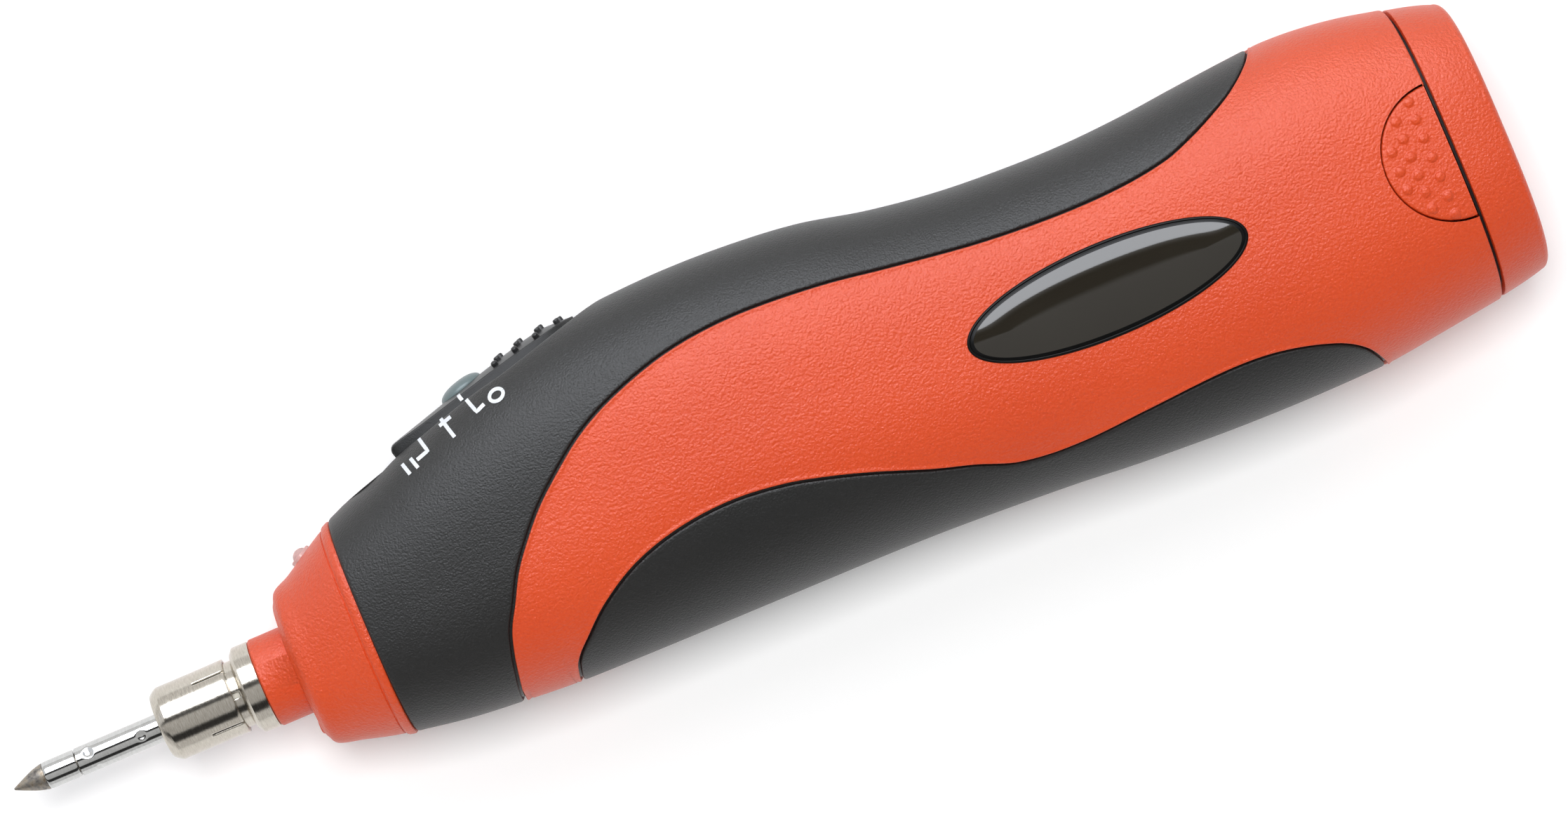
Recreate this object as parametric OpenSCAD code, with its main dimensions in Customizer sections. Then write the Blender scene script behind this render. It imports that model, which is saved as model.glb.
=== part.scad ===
// Cordless soldering iron, lying on its far side. X runs from the tip to the rear,
// Y towards the switch side and Z towards the side that carries the badge.
// Inside the modules x is measured from the point of the tip, y from the heater axis
// and z from the parting plane of the two housing halves; place() moves that to the frame.

/* [Tip cartridge] */
// Diameter of the bit, its sleeve and the heater tube
tip_d = 3.9; // [3.2:0.1:4.4]
// Length of the bit's cone
cone_len = 4.8; // [3:0.1:8]
// Length of the polished sleeve behind the cone
sleeve_len = 4.8; // [3:0.1:8]
// Length of the heater tube that shows
tube_len = 12.4; // [8:0.1:20]
// Diameter of the slotted barrel
barrel_d = 10.6; // [10.2:0.1:11.6]
// Length of the slotted barrel
barrel_len = 11; // [9:0.1:14]
// Wall of the slotted barrel
barrel_wall = 0.45; // [0.3:0.05:0.6]
// Length of the barrel's slots
slot_len = 4.7; // [3:0.1:6]
// Gap between the barrel and the ring, where the neck shows
neck_gap = 1.3; // [0.8:0.1:2.5]

/* [Nose] */
// Diameter of the socket ring
ring_d = 12.5; // [11.6:0.1:13.6]
// Length of the socket ring
ring_len = 3; // [2:0.1:5]
// Diameter of the nose spigot
spigot_d = 12.7; // [12:0.1:14]
// Length of the nose spigot
spigot_len = 5.1; // [3:0.1:8]
// Length of the nose cap behind its spigot
nose_len = 11.7; // [9:0.1:15]
// Wall of the nose cap
nose_wall = 1.8; // [1.2:0.1:2.4]
// Diameter of the work light's dome
led_d = 2.6; // [2:0.1:3]

/* [Handle] */
// Length of the housing from the nose cap to the end cap
body_len = 159.4; // [150:0.2:172]
// Greatest height of the handle
body_h = 48; // [46:0.2:54]
// Greatest width of the handle
body_w = 41; // [40:0.2:46]
// Wall of the housing under the grips
wall = 1.4; // [1:0.1:1.6]
// Thickness of the soft grips
grip_t = 1.4; // [1:0.1:1.6]
// Width of the groove between a grip and the housing
groove_w = 0.4; // [0.2:0.05:0.8]
// Length of the badge
badge_len = 40.6; // [30:0.2:48]
// Height of the badge
badge_h = 12.8; // [8:0.2:16]

/* [Switch] */
// Angle of the switch track to the heater axis
track_angle = 16; // [14:0.5:18]
// Length of the slide switch
slide_len = 30.7; // [29:0.1:34]
// Width of the slide switch
slide_w = 13.4; // [11:0.1:15]
// Travel of the slide switch
slide_travel = 8.5; // [6:0.1:8.8]
// Diameter of the heat button
button_d = 6.6; // [5:0.1:7]
// Travel of the heat button
button_travel = 1.2; // [0.8:0.1:1.3]

/* [Rear end] */
// Length of the end cap
cap_len = 7.9; // [6:0.1:12]
// Radius of the half-round release pads
pad_r = 9.7; // [8:0.1:10.5]
// Travel of a release pad
pad_travel = 0.9; // [0.8:0.1:1.5]

/* [Batteries] */
// Diameter of a cell
cell_d = 14.2; // [13.6:0.1:14.5]
// Length of a cell with its button
cell_len = 50.4; // [49:0.1:51]

/* [Hidden] */

// Facets of round pieces, of small round pieces and of the lofted skins
$fn = 96;
small_fn = 32;
top_facets = 10;
mid_facets = 6;
low_facets = 4;
bay_facets = 10;
ring_facets = 32;
// Clearances: moving pieces, seated pieces, an over-moulded skin, and the overrun of a cut
run_gap = 0.3;
fit = 0.1;
skin_gap = 0.08;
over = 1;

// Places along the heater axis
x_sleeve = cone_len;
x_tube = x_sleeve + sleeve_len;
x_barrel = x_tube + tube_len;
x_neck = x_barrel + barrel_len;
x_ring = x_neck + neck_gap;
x_spigot = x_ring + ring_len;
x_nose = x_spigot + spigot_len;
x_body = x_nose + nose_len;
x_seam = x_body + body_len;
x_end = x_seam + cap_len;

// Outline of the nose: share of its length, share of the handle's height or width
nose_top_shares = [[0, .196], [.07, .228], [.3, .256], [.6, .3], [.85, .335], [1, .352]];
nose_low_shares = [[0, -.21], [.06, -.236], [.4, -.26], [.7, -.28], [1, -.296]];
nose_side_shares = [[0, .2], [.07, .232], [.3, .26], [.6, .3], [.85, .335], [1, .352]];
// Outline of the handle, in the same way
body_top_shares = [
    [0, .357], [.023, .388], [.047, .418], [.083, .468], [.125, .524], [.179, .582],
    [.24, .622], [.288, .634], [.348, .641], [.409, .634], [.469, .613], [.529, .57],
    [.59, .541], [.65, .528], [.705, .525], [.76, .534], [.81, .55], [.86, .565],
    [.895, .572], [.928, .567], [.964, .551], [1, .525]
];
body_low_shares = [
    [0, -.296], [.047, -.321], [.095, -.336], [.143, -.347], [.203, -.351],
    [.324, -.354], [.445, -.357], [.505, -.363], [.602, -.381], [.65, -.395],
    [.686, -.403], [.747, -.413], [.807, -.417], [.867, -.415], [.895, -.411],
    [.94, -.393], [1, -.367]
];
body_side_shares = [
    [0, .36], [.05, .4], [.14, .45], [.3, .496], [.38, .5], [.46, .496], [.56, .48],
    [.66, .472], [.76, .482], [.86, .494], [.91, .492], [.95, .484], [1, .47]
];
// Outline of the end cap, in the same way
cap_top_shares = [[0, .522], [.5, .502], [.86, .482], [.96, .47], [1, .45]];
cap_low_shares = [[0, -.364], [.5, -.35], [.86, -.336], [.96, -.326], [1, -.308]];
cap_side_shares = [[0, .467], [.5, .454], [.86, .438], [.96, .428], [1, .408]];
// Squareness of the sections: 2 is an ellipse
nose_power = 2.2;
top_power = 2.8;
low_power = 2.5;
// Edges of the upper and the lower grip: share of the handle's length, share of its height
upper_edge_shares = [
    [.0955, 0], [.1, .075], [.105, .16], [.112, .243], [.124, .322], [.136, .398],
    [.148, .453], [.172, .538], [.196, .6], [.231, .674], [.278, .737], [.326, .777],
    [.385, .798], [.467, .802], [.539, .809], [.634, .803], [.728, .806], [.775, .82],
    [.799, .841], [.823, .87], [.848, .908], [.87, .958], [.882, 1]
];
lower_edge_shares = [
    [.148, 0], [.154, .063], [.171, .125], [.195, .194], [.231, .261], [.278, .304],
    [.326, .316], [.373, .301], [.408, .275], [.444, .241], [.491, .191], [.527, .162],
    [.563, .126], [.61, .12], [.681, .151], [.752, .175], [.799, .167], [.847, .123],
    [.872, .072], [.888, 0]
];
// Stations of the lofted skins along the handle, the nose and the end cap
front_station_shares = [0, .02, .045, .07, .094];
strip_station_shares = [
    .0955, .1, .105, .112, .124, .136, .147, .149, .154, .162, .172, .184, .2, .222,
    .25, .285, .326, .37, .408, .45, .491, .53, .563, .61, .65, .69, .73, .77, .799,
    .823, .848, .862, .874, .881
];
rear_station_shares = [.883, .887, .889, .92, .96, 1];
bay_station_shares = [0, .03, .07, .12, .18, .26, .38, .48, .58, .7, .8, .88, .94, 1];
nose_station_shares = [0, .03, .08, .3, .6, .87];
lip_station_shares = [.885, .985];
cap_station_shares = [0, .5, .86, .96, 1];
// Smallest angle that a zone of the skin keeps, and the draft of a pocket's wall
pinch = 1;
draft = 0.5;

// A smooth curve through a table of pairs
function lerp(a, b, s) = a + (b - a) * s;
function span_at(t, x, i = 0) =
    i >= len(t) - 2 || x < t[i + 1][0] ? i : span_at(t, x, i + 1);
function rise(t, i) =
    let (a = max(i - 1, 0), b = min(i + 1, len(t) - 1))
    (t[b][1] - t[a][1]) / (t[b][0] - t[a][0]);
function curve(t, x) =
    let (i = span_at(t, x), h = t[i + 1][0] - t[i][0], s = (x - t[i][0]) / h,
         q = s * s, c = q * s)
    (2 * c - 3 * q + 1) * t[i][1] + (c - 2 * q + s) * h * rise(t, i)
    + (3 * q - 2 * c) * t[i + 1][1] + (c - q) * h * rise(t, i + 1);

// The handle's section at x: top, bottom and half width
function nose_share(x) = (x - x_nose) / nose_len;
function body_share(x) = (x - x_body) / body_len;
function cap_share(x) = (x - x_seam) / cap_len;
function body_x(s) = x_body + s * body_len;
function outline(x, nose, body, cap) =
    x < x_body ? curve(nose, nose_share(x))
    : x <= x_seam ? curve(body, body_share(x)) : curve(cap, cap_share(x));
function top_y(x) = body_h * outline(x, nose_top_shares, body_top_shares, cap_top_shares);
function low_y(x) = body_h * outline(x, nose_low_shares, body_low_shares, cap_low_shares);
function side_z(x) =
    body_w * outline(x, nose_side_shares, body_side_shares, cap_side_shares);
function mid_y(x) = (top_y(x) + low_y(x)) / 2;
function power(x, a) =
    lerp(nose_power, cos(a) > 0 ? top_power : low_power,
         max(0, min(1, (x - x_nose) / (2 * nose_len))));
function signed_pow(v, p) = sign(v) * pow(abs(v), p);
// A point of the skin: a runs from the top through the near side to the bottom
function skin_point(x, a, d = 0) =
    let (h = (top_y(x) - low_y(x)) / 2 - d, w = side_z(x) - d, e = 2 / power(x, a))
    [x, mid_y(x) + h * signed_pow(cos(a), e), w * signed_pow(sin(a), e)];
function skin_arc(x, a0, a1, n, d = 0) =
    [for (k = [0:n]) skin_point(x, lerp(a0, a1, k / n), d)];
// The angle at which the skin has a share v of the section's height
function angle_at(x, v) =
    let (u = max(-1, min(1, 2 * v - 1))) acos(signed_pow(u, power(x, 90 - u) / 2));

// Edges of the grips as angles round the section
function upper_angle(x) =
    let (s = body_share(x), t = upper_edge_shares)
    s < t[0][0] ? 180 - 4 * pinch
    : s > t[len(t) - 1][0] ? pinch
    : max(pinch, min(180 - 4 * pinch, angle_at(x, curve(t, s))));
function lower_angle(x) =
    let (s = body_share(x), t = lower_edge_shares)
    max(upper_angle(x) + 3 * pinch,
        s < t[0][0] || s > t[len(t) - 1][0] ? 180 - pinch
        : min(180 - pinch, angle_at(x, curve(t, s))));
function groove_angle(x) = groove_w / side_z(x) * 180 / PI;
function grip_top_angle(x) =
    let (a = min(upper_angle(x - groove_w), upper_angle(x + groove_w)))
    a > 180 - 5 * pinch ? 180 : a - groove_angle(x);
function grip_low_angle(x) =
    max(lower_angle(x - groove_w), lower_angle(x + groove_w)) + groove_angle(x);

// A closed skin through rings of points, each with as many points. A thin ring runs out
// and back: its quads are split the same way on both runs and its ends close as strips
function loft_faces(n, m, thin) = concat(
    [for (i = [0:n - 2], k = [0:m - 1]) let (a = i * m, b = a + m, j = (k + 1) % m)
        each thin && k >= m / 2 ? [[a + k, b + k, a + j], [b + k, b + j, a + j]]
            : [[a + k, b + k, b + j], [a + k, b + j, a + j]]],
    thin ? [for (k = [0:m / 2 - 2]) let (b = (n - 1) * m, j = m - 1 - k)
        each [[k, k + 1, j - 1, j], [b + j, b + j - 1, b + k + 1, b + k]]]
    : [[for (k = [0:m - 1]) k], [for (k = [0:m - 1]) n * m - 1 - k]]
);
module loft(rings, thin = false) {
    polyhedron(
        points = [for (r = rings) each r],
        faces = loft_faces(len(rings), len(rings[0]), thin),
        convexity = 6
    );
}
// A round tube along a line of points, all its rings square to the whole run
function tube_ring(p, q, r, sides) =
    let (d = q - p, u = d / norm(d), v = cross([0, 0, 1], u), w = v / norm(v),
         t = cross(u, w))
    [for (k = [0:sides - 1]) let (a = 360 * k / sides)
        p + r * (cos(a) * w + sin(a) * t)];
module wire(points, r, sides = 8) {
    last = len(points) - 1;
    rings = [for (i = [0:last]) let (
        a = points[max(i - 1, 0)], b = points[min(i + 1, last)], d = b - a)
        tube_ring(points[i], points[i] + d, r, sides)];
    loft(rings);
}

// Switch track: its front end on the crown, its thickness and its rounded ends
track_start_share = .023;
track_x = body_x(track_start_share);
track_y = top_y(track_x) - 0.1 * grip_t;
track_len = 43.4;
track_t = 1;
well_w = slide_w + 1.2;
track_end = -0.9;
slide_rest = 8.9;
button_share = .396;
button_s = slide_rest + button_share * slide_len;
stem_w = 3.8;
stem_len = 3.6;
stem_s = button_s + button_d / 2 + 3 * fit;
track_slot_w = stem_w + 2 * run_gap;
track_slot_start = button_s - slide_travel - stem_w / 2 - run_gap;
track_slot_end = stem_s + stem_len + run_gap;
module on_track() {
    translate([track_x, track_y, 0]) rotate([0, 0, track_angle]) children();
}
// Depths below the track's top: carriage, wiper, board and the push switch
carriage_top = 3.1;
carriage_t = 1.2;
carriage_w = 9;
board_t = 1.6;
board_w = 20;
board_start = 4;
board_len = 42;
push_t = 1.3;
push_w = 4.4;
push_pip = 0.3;
board_top = carriage_top + carriage_t + button_travel + push_pip + push_t + 4 * fit;
wiper_t = 0.3;
wiper_w = 1.2;
wiper_z = 3.4;
wiper_flat = 3;
slide_h = 2.3;
slide_gap = 0.15;
nub_d = 1.1;
nub_h = 0.9;
nub_pitch = 2.4;
nub_bow = 1.4;
// Rows of nubs: share of the slide's length, and how many
nub_row_shares = [[.586, 5], [.7, 5], [.814, 5], [.92, 3]];
button_skirt = 1.2;
button_dome = 1.3;
button_stem_d = 2.4;
// Components under the board: place, length and width as shares of the board
chip_t = 1.5;
chip_shares = [[.3, -.2, .2, .3], [.58, .1, .1, .25], [.72, -.4, .14, .3]];
// Ledges that carry the board, as shares of its length
ledge_shares = [.12, .7];
ledge_t = 1.4;
ledge_w = 6;
ledge_hold = 1;
wire_d = 1.3;
wire_pitch = 3.1;
wire_steps = 8;

// Battery bay: the cells lie two by two round the pack's axis
pack_y = mid_y(x_seam);
cell_pitch = cell_d + fit;
plate_t = 1.6;
spring_t = 0.4;
spring_gap = 1.1;
pack_len = cell_len + 2 * (plate_t + spring_gap);
pack_end = x_seam - pad_r - 1.4;
pack_start = pack_end - pack_len;
bay_front = pack_start - spring_gap - plate_t - run_gap;
pack_r = cell_d / 2;
leaf_w = 6;
leaf_d = 3;
spine_d = 5.4;
cell_nub_d = 5.2;
cell_nub_t = 1;

// Screws: place, as shares of the handle's length and height, and their sizes
screw_shares = [[.135, .2], [.43, .6], [.897, .868], [.897, .126]];
screw_d = 2.4;
screw_head_d = 4.4;
screw_head_t = 1.8;
screw_seat = 8;
screw_bite = 6;
boss_d = 5.2;
screw_slot = 0.6;
function screw_at(i) =
    let (x = body_x(screw_shares[i][0]))
    [x, lerp(low_y(x), top_y(x), screw_shares[i][1])];

// Nose cap, spigot and socket
neck_d = barrel_d - 2 * barrel_wall - 2 * fit;
bore_d = neck_d + fit;
nose_tube_len = spigot_len + 8;
neck_rear = 8;
ring_edge = 0.5;
neck_wall = 0.8;
neck_reach = 5;
neck_notch = 1.2;
nose_front = 1.8;
lip_h = 0.25;
bump_share = -.176;
bump_h = 2.4;
bump_w = 3;
bump_t = 0.5;
led_share = .54;
led_tilt = 30;
led_hole_d = led_d + 2 * fit;
led_flange_d = led_d + 0.8;
led_flange_t = 0.8;
led_proud = 1.2;
led_depth = nose_wall + fit + led_flange_t;
led_pitch = 1.3;
led_leg = 1.5;
led_leg_d = 0.45;
rod_d = 2.2;
core_d = 2.4;
tube_wall = 0.35;
holder_len = 3;
socket_len = 15;
pin_len = 6;
pin_d = 4;
bit_point_r = 0.3;
core_reach = 5;
barrel_edge = 1.1;
barrel_front = 0.8;
slot_w = 0.35;
// Crimps of the heater tube: share of its length, angle about the axis, share of its size
crimp_shares = [[.14, -23, .3], [.79, 0, .3], [.21, 60, .16]];

// Badge: place, pocket, plate and dome
badge_x_share = .687;
badge_y_share = .536;
badge_gap = 0.15;
badge_depth = 1.1;
badge_plate_t = 0.5;
badge_edge = 0.5;
badge_dome_h = 1.2;
badge_round = 2.6;
badge_facets = 48;

// End cap, seal and release pads
seam_gap = 0.5;
skirt_len = 5;
skirt_t = 1.4;
cap_wall = 1.8;
cap_floor = 1.6;
seal_depth = 1;
pad_flange = 0.6;
pad_flange_t = 0.6;
pad_steps = 4;
pad_sweep = 42;
tongue_len = 7;
tongue_w = 8;
tongue_t = 1.2;
bump_d = 1.45;
bump_proud = 0.4;
// Bumps of a pad: distance from the seam and height, as shares of the pad's radius
pad_bump_shares = [
    [.3, .84], [.3, .58], [.3, .3], [.3, .01], [.3, -.28], [.3, -.57], [.3, -.84],
    [.57, .66], [.57, .4], [.57, .13], [.57, -.14], [.57, -.4], [.57, -.65],
    [.79, .29], [.79, 0], [.79, -.27]
];

module half_skin(stations) {
    loft([for (x = stations) let (
        s = body_share(x), u = upper_angle(x), l = lower_angle(x),
        strip = s >= upper_edge_shares[0][0],
        dt = s <= upper_edge_shares[len(upper_edge_shares) - 1][0] ? grip_t : 0,
        db = !strip || (s >= lower_edge_shares[0][0]
            && s <= lower_edge_shares[len(lower_edge_shares) - 1][0]) ? grip_t : 0,
        dm = strip ? 0 : grip_t)
        concat(skin_arc(x, 0, u, top_facets, dt),
               skin_arc(x, u + draft, l - draft, mid_facets, dm),
               skin_arc(x, l, 180, low_facets, db))]);
}
// The hollow inside the housing, run past its ends and past the parting plane
module bay_half() {
    d = grip_t + wall;
    loft([for (s = bay_station_shares)
        let (x = body_x(s) + (s == 0 ? -over : s == 1 ? over : 0),
             p = skin_arc(body_x(s), 0, 180, bay_facets, d))
        concat([[x, p[0][1], -over]], [for (q = p) [x, q[1], q[2]]],
               [[x, p[len(p) - 1][1], -over]])]);
}
module track_outline(w, grow = 0) {
    r = w / 2 + grow;
    translate([track_end + r - grow, 0]) circle(r);
    translate([track_end + track_len - r + grow, 0]) circle(r);
    translate([track_end + r - grow, -r]) square([track_len - 2 * r + 2 * grow, 2 * r]);
}
module along_track(t0, t1) {
    on_track() translate([0, t1, 0]) rotate([90, 0, 0])
        linear_extrude(height = t1 - t0) children();
}
module well() { along_track(-track_t - fit, grip_t * 4) track_outline(well_w, fit); }
module track_slot(t0, t1) {
    along_track(t0, t1) translate([track_slot_start, -track_slot_w / 2])
        square([track_slot_end - track_slot_start, track_slot_w]);
}
function wall_z(x, y) =
    let (v = (y - low_y(x)) / (top_y(x) - low_y(x)))
    skin_point(x, angle_at(x, v))[2];
// Each boss ends inside the wall, by the side where the wall is lowest over it
module screw_bosses() {
    for (i = [0:len(screw_shares) - 1]) {
        p = screw_at(i);
        y = p[1] + sign(p[1] - mid_y(p[0])) * boss_d / 2;
        translate([p[0], p[1], 0]) cylinder(
            h = wall_z(p[0], y) - grip_t - wall / 2, d = boss_d, $fn = small_fn);
    }
}
module pad_window(r) {
    translate([x_seam, pack_y, 0]) cylinder(h = body_w, r = r);
}
module housing_half() {
    difference() {
        union() {
            difference() {
                half_skin([for (s = concat(front_station_shares, strip_station_shares,
                    rear_station_shares)) body_x(s)]);
                bay_half();
            }
            screw_bosses();
            board_ledges();
        }
        well();
        track_slot(-carriage_top - over, over);
        pad_window(pad_r);
    }
}
module housing_near() {
    color("orangered") difference() {
        housing_half();
        badge_place() linear_extrude(height = body_w) badge_outline(0);
        for (i = [0:len(screw_shares) - 1]) translate([each screw_at(i), -over])
            cylinder(h = screw_bite + over + fit, d = screw_d + fit, $fn = small_fn);
    }
}
module housing_far() {
    color("orangered") difference() {
        mirror([0, 0, 1]) housing_half();
        for (i = [0:len(screw_shares) - 1]) translate([each screw_at(i), 0]) {
            translate([0, 0, -body_w]) cylinder(
                h = body_w - screw_seat, d = screw_head_d + 4 * fit, $fn = small_fn);
            translate([0, 0, -body_w]) cylinder(
                h = body_w + over, d = screw_d + 2 * fit, $fn = small_fn);
        }
    }
}

// A grip's points lie on the same angles as the pocket's, up to the grip's own edge
function grip_arc(a0, pocket, edge, n) = [for (k = [0:n])
    a0 + sign(pocket - a0) * min(abs(pocket - a0) * k / n, abs(edge - a0) * (k + n) / n / 2)];
function grip_ring(x, angles) = concat(
    [for (a = angles) skin_point(x, a)],
    [for (k = [len(angles) - 1:-1:0]) skin_point(x, angles[k], grip_t - skin_gap)]);
module grip_top() {
    stations = [for (s = concat(front_station_shares, strip_station_shares))
        if (grip_top_angle(body_x(s)) > 3 * pinch) body_x(s)];
    difference() {
        loft([for (x = stations) grip_ring(x,
            grip_arc(0, upper_angle(x), grip_top_angle(x), top_facets))], thin = true);
        well();
    }
}
module grip_bottom() {
    stations = [for (s = strip_station_shares)
        if (grip_low_angle(body_x(s)) < 180 - 3 * pinch) body_x(s)];
    loft([for (x = stations) let (
        g = grip_arc(180, lower_angle(x), grip_low_angle(x), low_facets))
        grip_ring(x, [for (k = [low_facets:-1:0]) g[k]])], thin = true);
}
module grip_top_near() { color("dimgray") grip_top(); }
module grip_top_far() { color("dimgray") mirror([0, 0, 1]) grip_top(); }
module grip_bottom_near() { color("dimgray") grip_bottom(); }
module grip_bottom_far() { color("dimgray") mirror([0, 0, 1]) grip_bottom(); }

// Turned pieces stand on the heater axis
module along_x(x) { translate([x, 0, 0]) rotate([0, 90, 0]) children(); }
module track_box(s0, s1, t0, t1, z0, z1) {
    on_track() translate([s0, t0, z0]) cube([s1 - s0, t1 - t0, z1 - z0]);
}
module track_pin(s, t0, t1, d, z = 0) {
    on_track() translate([s, t0, z]) rotate([-90, 0, 0])
        cylinder(h = t1 - t0, d = d, $fn = small_fn);
}
function full_ring(x, d = 0) =
    [for (k = [0:ring_facets - 1]) skin_point(x, 360 * k / ring_facets, d)];
function ring_at(x, ring) = [for (p = ring) [x, p[1], p[2]]];

module spigot_bore() {
    along_x(x_spigot - over) cylinder(h = nose_tube_len + 2 * over, d = bore_d);
}
module nose_skin() {
    loft(concat(
        [for (s = nose_station_shares) full_ring(x_nose + s * nose_len)],
        [for (s = lip_station_shares) full_ring(x_nose + s * nose_len, -lip_h)],
        [full_ring(x_body)]
    ));
}
module nose_hollow() {
    loft([for (s = [0, .35, .7, 1])
        let (x = lerp(x_nose + nose_front, x_body, s), q = full_ring(x, nose_wall))
        ring_at(x + (s == 1 ? over : 0), q)]);
}
module on_nose() {
    x = x_nose + led_share * nose_len;
    translate([x, top_y(x), 0]) rotate([0, 0, led_tilt]) children();
}
module nose_cap() {
    color("orangered") difference() {
        union() {
            difference() {
                nose_skin();
                nose_hollow();
            }
            along_x(x_spigot) cylinder(h = nose_tube_len, d = spigot_d);
            translate([x_nose - bump_t, bump_share * body_h - bump_h / 2, -bump_w / 2])
                cube([nose_front, bump_h, bump_w]);
        }
        spigot_bore();
        on_nose() rotate([90, 0, 0])
            translate([0, 0, -over]) cylinder(h = nose_wall + 3 * over, d = led_hole_d);
    }
}
module led() {
    r = led_d / 2;
    color("mistyrose") on_nose() rotate([-90, 0, 0]) {
        rotate_extrude() polygon(concat(
            [[0, -led_depth], [led_flange_d / 2, -led_depth],
             [led_flange_d / 2, led_flange_t - led_depth], [r, led_flange_t - led_depth]],
            [for (a = [0:15:75]) [r * cos(a), led_proud - r + r * sin(a)]],
            [[0, led_proud]]
        ));
        for (y = [-led_pitch, led_pitch] / 2) translate([0, y, -led_depth - led_leg])
            cylinder(h = led_leg, d = led_leg_d, $fn = small_fn);
    }
}
module socket_ring() {
    front = -neck_gap - neck_reach;
    r = neck_d / 2;
    color("lightgray") difference() {
        along_x(x_ring) rotate_extrude() polygon([
            [r - neck_wall, front], [r, front], [r, 0],
            [ring_d / 2 - ring_edge, 0], [ring_d / 2, ring_edge], [ring_d / 2, ring_len],
            [r, ring_len], [r, ring_len + neck_rear], [r - neck_wall, ring_len + neck_rear]
        ]);
        for (a = [0:90:270]) rotate([a, 0, 0])
            translate([x_ring + front - over, -neck_notch / 2, r / 2])
                cube([over - front - ring_edge / 2, neck_notch, r]);
    }
}
module socket_insulator() {
    color("ivory") along_x(x_ring - neck_gap - 2 * fit) difference() {
        cylinder(h = socket_len, d = neck_d - 2 * neck_wall - fit);
        translate([0, 0, -over]) cylinder(h = socket_len + 2 * over, d = rod_d + 2 * fit);
    }
}
socket_rear = x_ring - neck_gap - 2 * fit + socket_len;
module socket_pin() {
    color("goldenrod") along_x(socket_rear) difference() {
        cylinder(h = pin_len, d = pin_d);
        translate([0, 0, -over]) cylinder(h = pin_len + 2 * over, d = rod_d + 2 * fit);
    }
}

module badge_place() {
    x = body_x(badge_x_share);
    translate([x, lerp(low_y(x), top_y(x), badge_y_share), side_z(x) - badge_depth])
        children();
}
function ellipse(w, h, z = 0) = [for (k = [0:badge_facets - 1])
    let (a = 360 * k / badge_facets) [w / 2 * cos(a), h / 2 * sin(a), z]];
module badge_outline(inset) {
    polygon([for (p = ellipse(badge_len - 2 * inset, badge_h - 2 * inset)) [p[0], p[1]]]);
}
module badge_plate() {
    color("black") badge_place()
        linear_extrude(height = badge_plate_t) badge_outline(badge_gap);
}
// The dome's levels: inset from the edge and height, as shares of badge_round and its rise
dome_shares = [[0, -1], [0, 0], [.18, .4], [.5, .75], [1, 1]];
module badge_dome() {
    rings = [for (q = dome_shares) let (d = 2 * (badge_gap + q[0] * badge_round))
        ellipse(badge_len - d, badge_h - d, badge_plate_t + badge_edge
            + q[1] * (q[1] < 0 ? badge_edge : badge_dome_h - badge_edge))];
    color("dimgray") badge_place()
        loft(rings);
}

module switch_track() {
    color("dimgray") difference() {
        along_track(-track_t, 0) track_outline(well_w);
        track_slot(-track_t - over, over);
    }
}
// The slide switch: edge height, crown and half width along it, as shares
slide_edge_shares = [[0, .6], [.02, .84], [.06, .98], [.15, 1], [.4, .86], [.6, .72],
    [.8, .5], [.9, .34], [.96, .2], [1, .08]];
slide_crown_shares = [[0, .1], [.06, .3], [.2, .36], [.7, .36], [.9, .26], [1, .05]];
slide_plan_shares = [[0, .4], [.02, .45], [.06, .485], [.15, .5], [.5, .5], [.7, .47],
    [.85, .41], [.94, .31], [1, .12]];
slide_station_shares = [0, .02, .06, .15, .28, .4, .5, .6, .7, .8, .88, .94, .98, 1];
slide_z_shares = [0, .35, .68, .92];
function slide_top(s, z) =
    let (w = slide_w * curve(slide_plan_shares, s), q = z / w)
    slide_gap + slide_h * (curve(slide_edge_shares, s)
        + curve(slide_crown_shares, s) * (1 - q * q));
function slide_ring(s) =
    let (x = slide_rest + s * slide_len, w = slide_w * curve(slide_plan_shares, s),
         e = slide_gap + slide_h * curve(slide_edge_shares, s) * .88)
    concat(
        [for (k = slide_z_shares) [x, slide_top(s, k * w), k * w]],
        [[x, e, w], [x, slide_gap, w], [x, slide_gap, -w], [x, e, -w]],
        [for (k = [len(slide_z_shares) - 1:-1:1]) let (z = slide_z_shares[k] * w)
            [x, slide_top(s, z), -z]]
    );
// How high the middle nub of a row stands over the heater axis
function nub_reach(s) = track_y + (slide_rest + s * slide_len + nub_d / 2) * sin(track_angle)
    + (slide_top(s, 0) + nub_h) * cos(track_angle);
module nub_row(share, count) {
    for (k = [0:count - 1]) {
        z = (k - (count - 1) / 2) * nub_pitch;
        q = z / (2 * nub_pitch);
        s = share + nub_bow * (1 - q * q) / slide_len;
        track_pin(slide_rest + s * slide_len, slide_gap, slide_top(s, z) + nub_h,
                  nub_d, z);
    }
}
module slide_switch() {
    color("dimgray") difference() {
        union() {
            on_track() loft([for (s = slide_station_shares) slide_ring(s)]);
            track_box(stem_s, stem_s + stem_len, -carriage_top, slide_h / 2,
                      -stem_w / 2, stem_w / 2);
            for (r = nub_row_shares) nub_row(r[0], r[1]);
        }
        track_pin(button_s, -over, 4 * slide_h, button_d + 2 * fit);
    }
}
module switch_carriage() {
    color("dimgray") difference() {
        track_box(button_s - carriage_w / 2, stem_s + stem_len + over,
                  -carriage_top - carriage_t, -carriage_top, -carriage_w / 2, carriage_w / 2);
        track_pin(button_s, -carriage_top - carriage_t - over, over,
                  button_stem_d + 2 * run_gap);
    }
}
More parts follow.
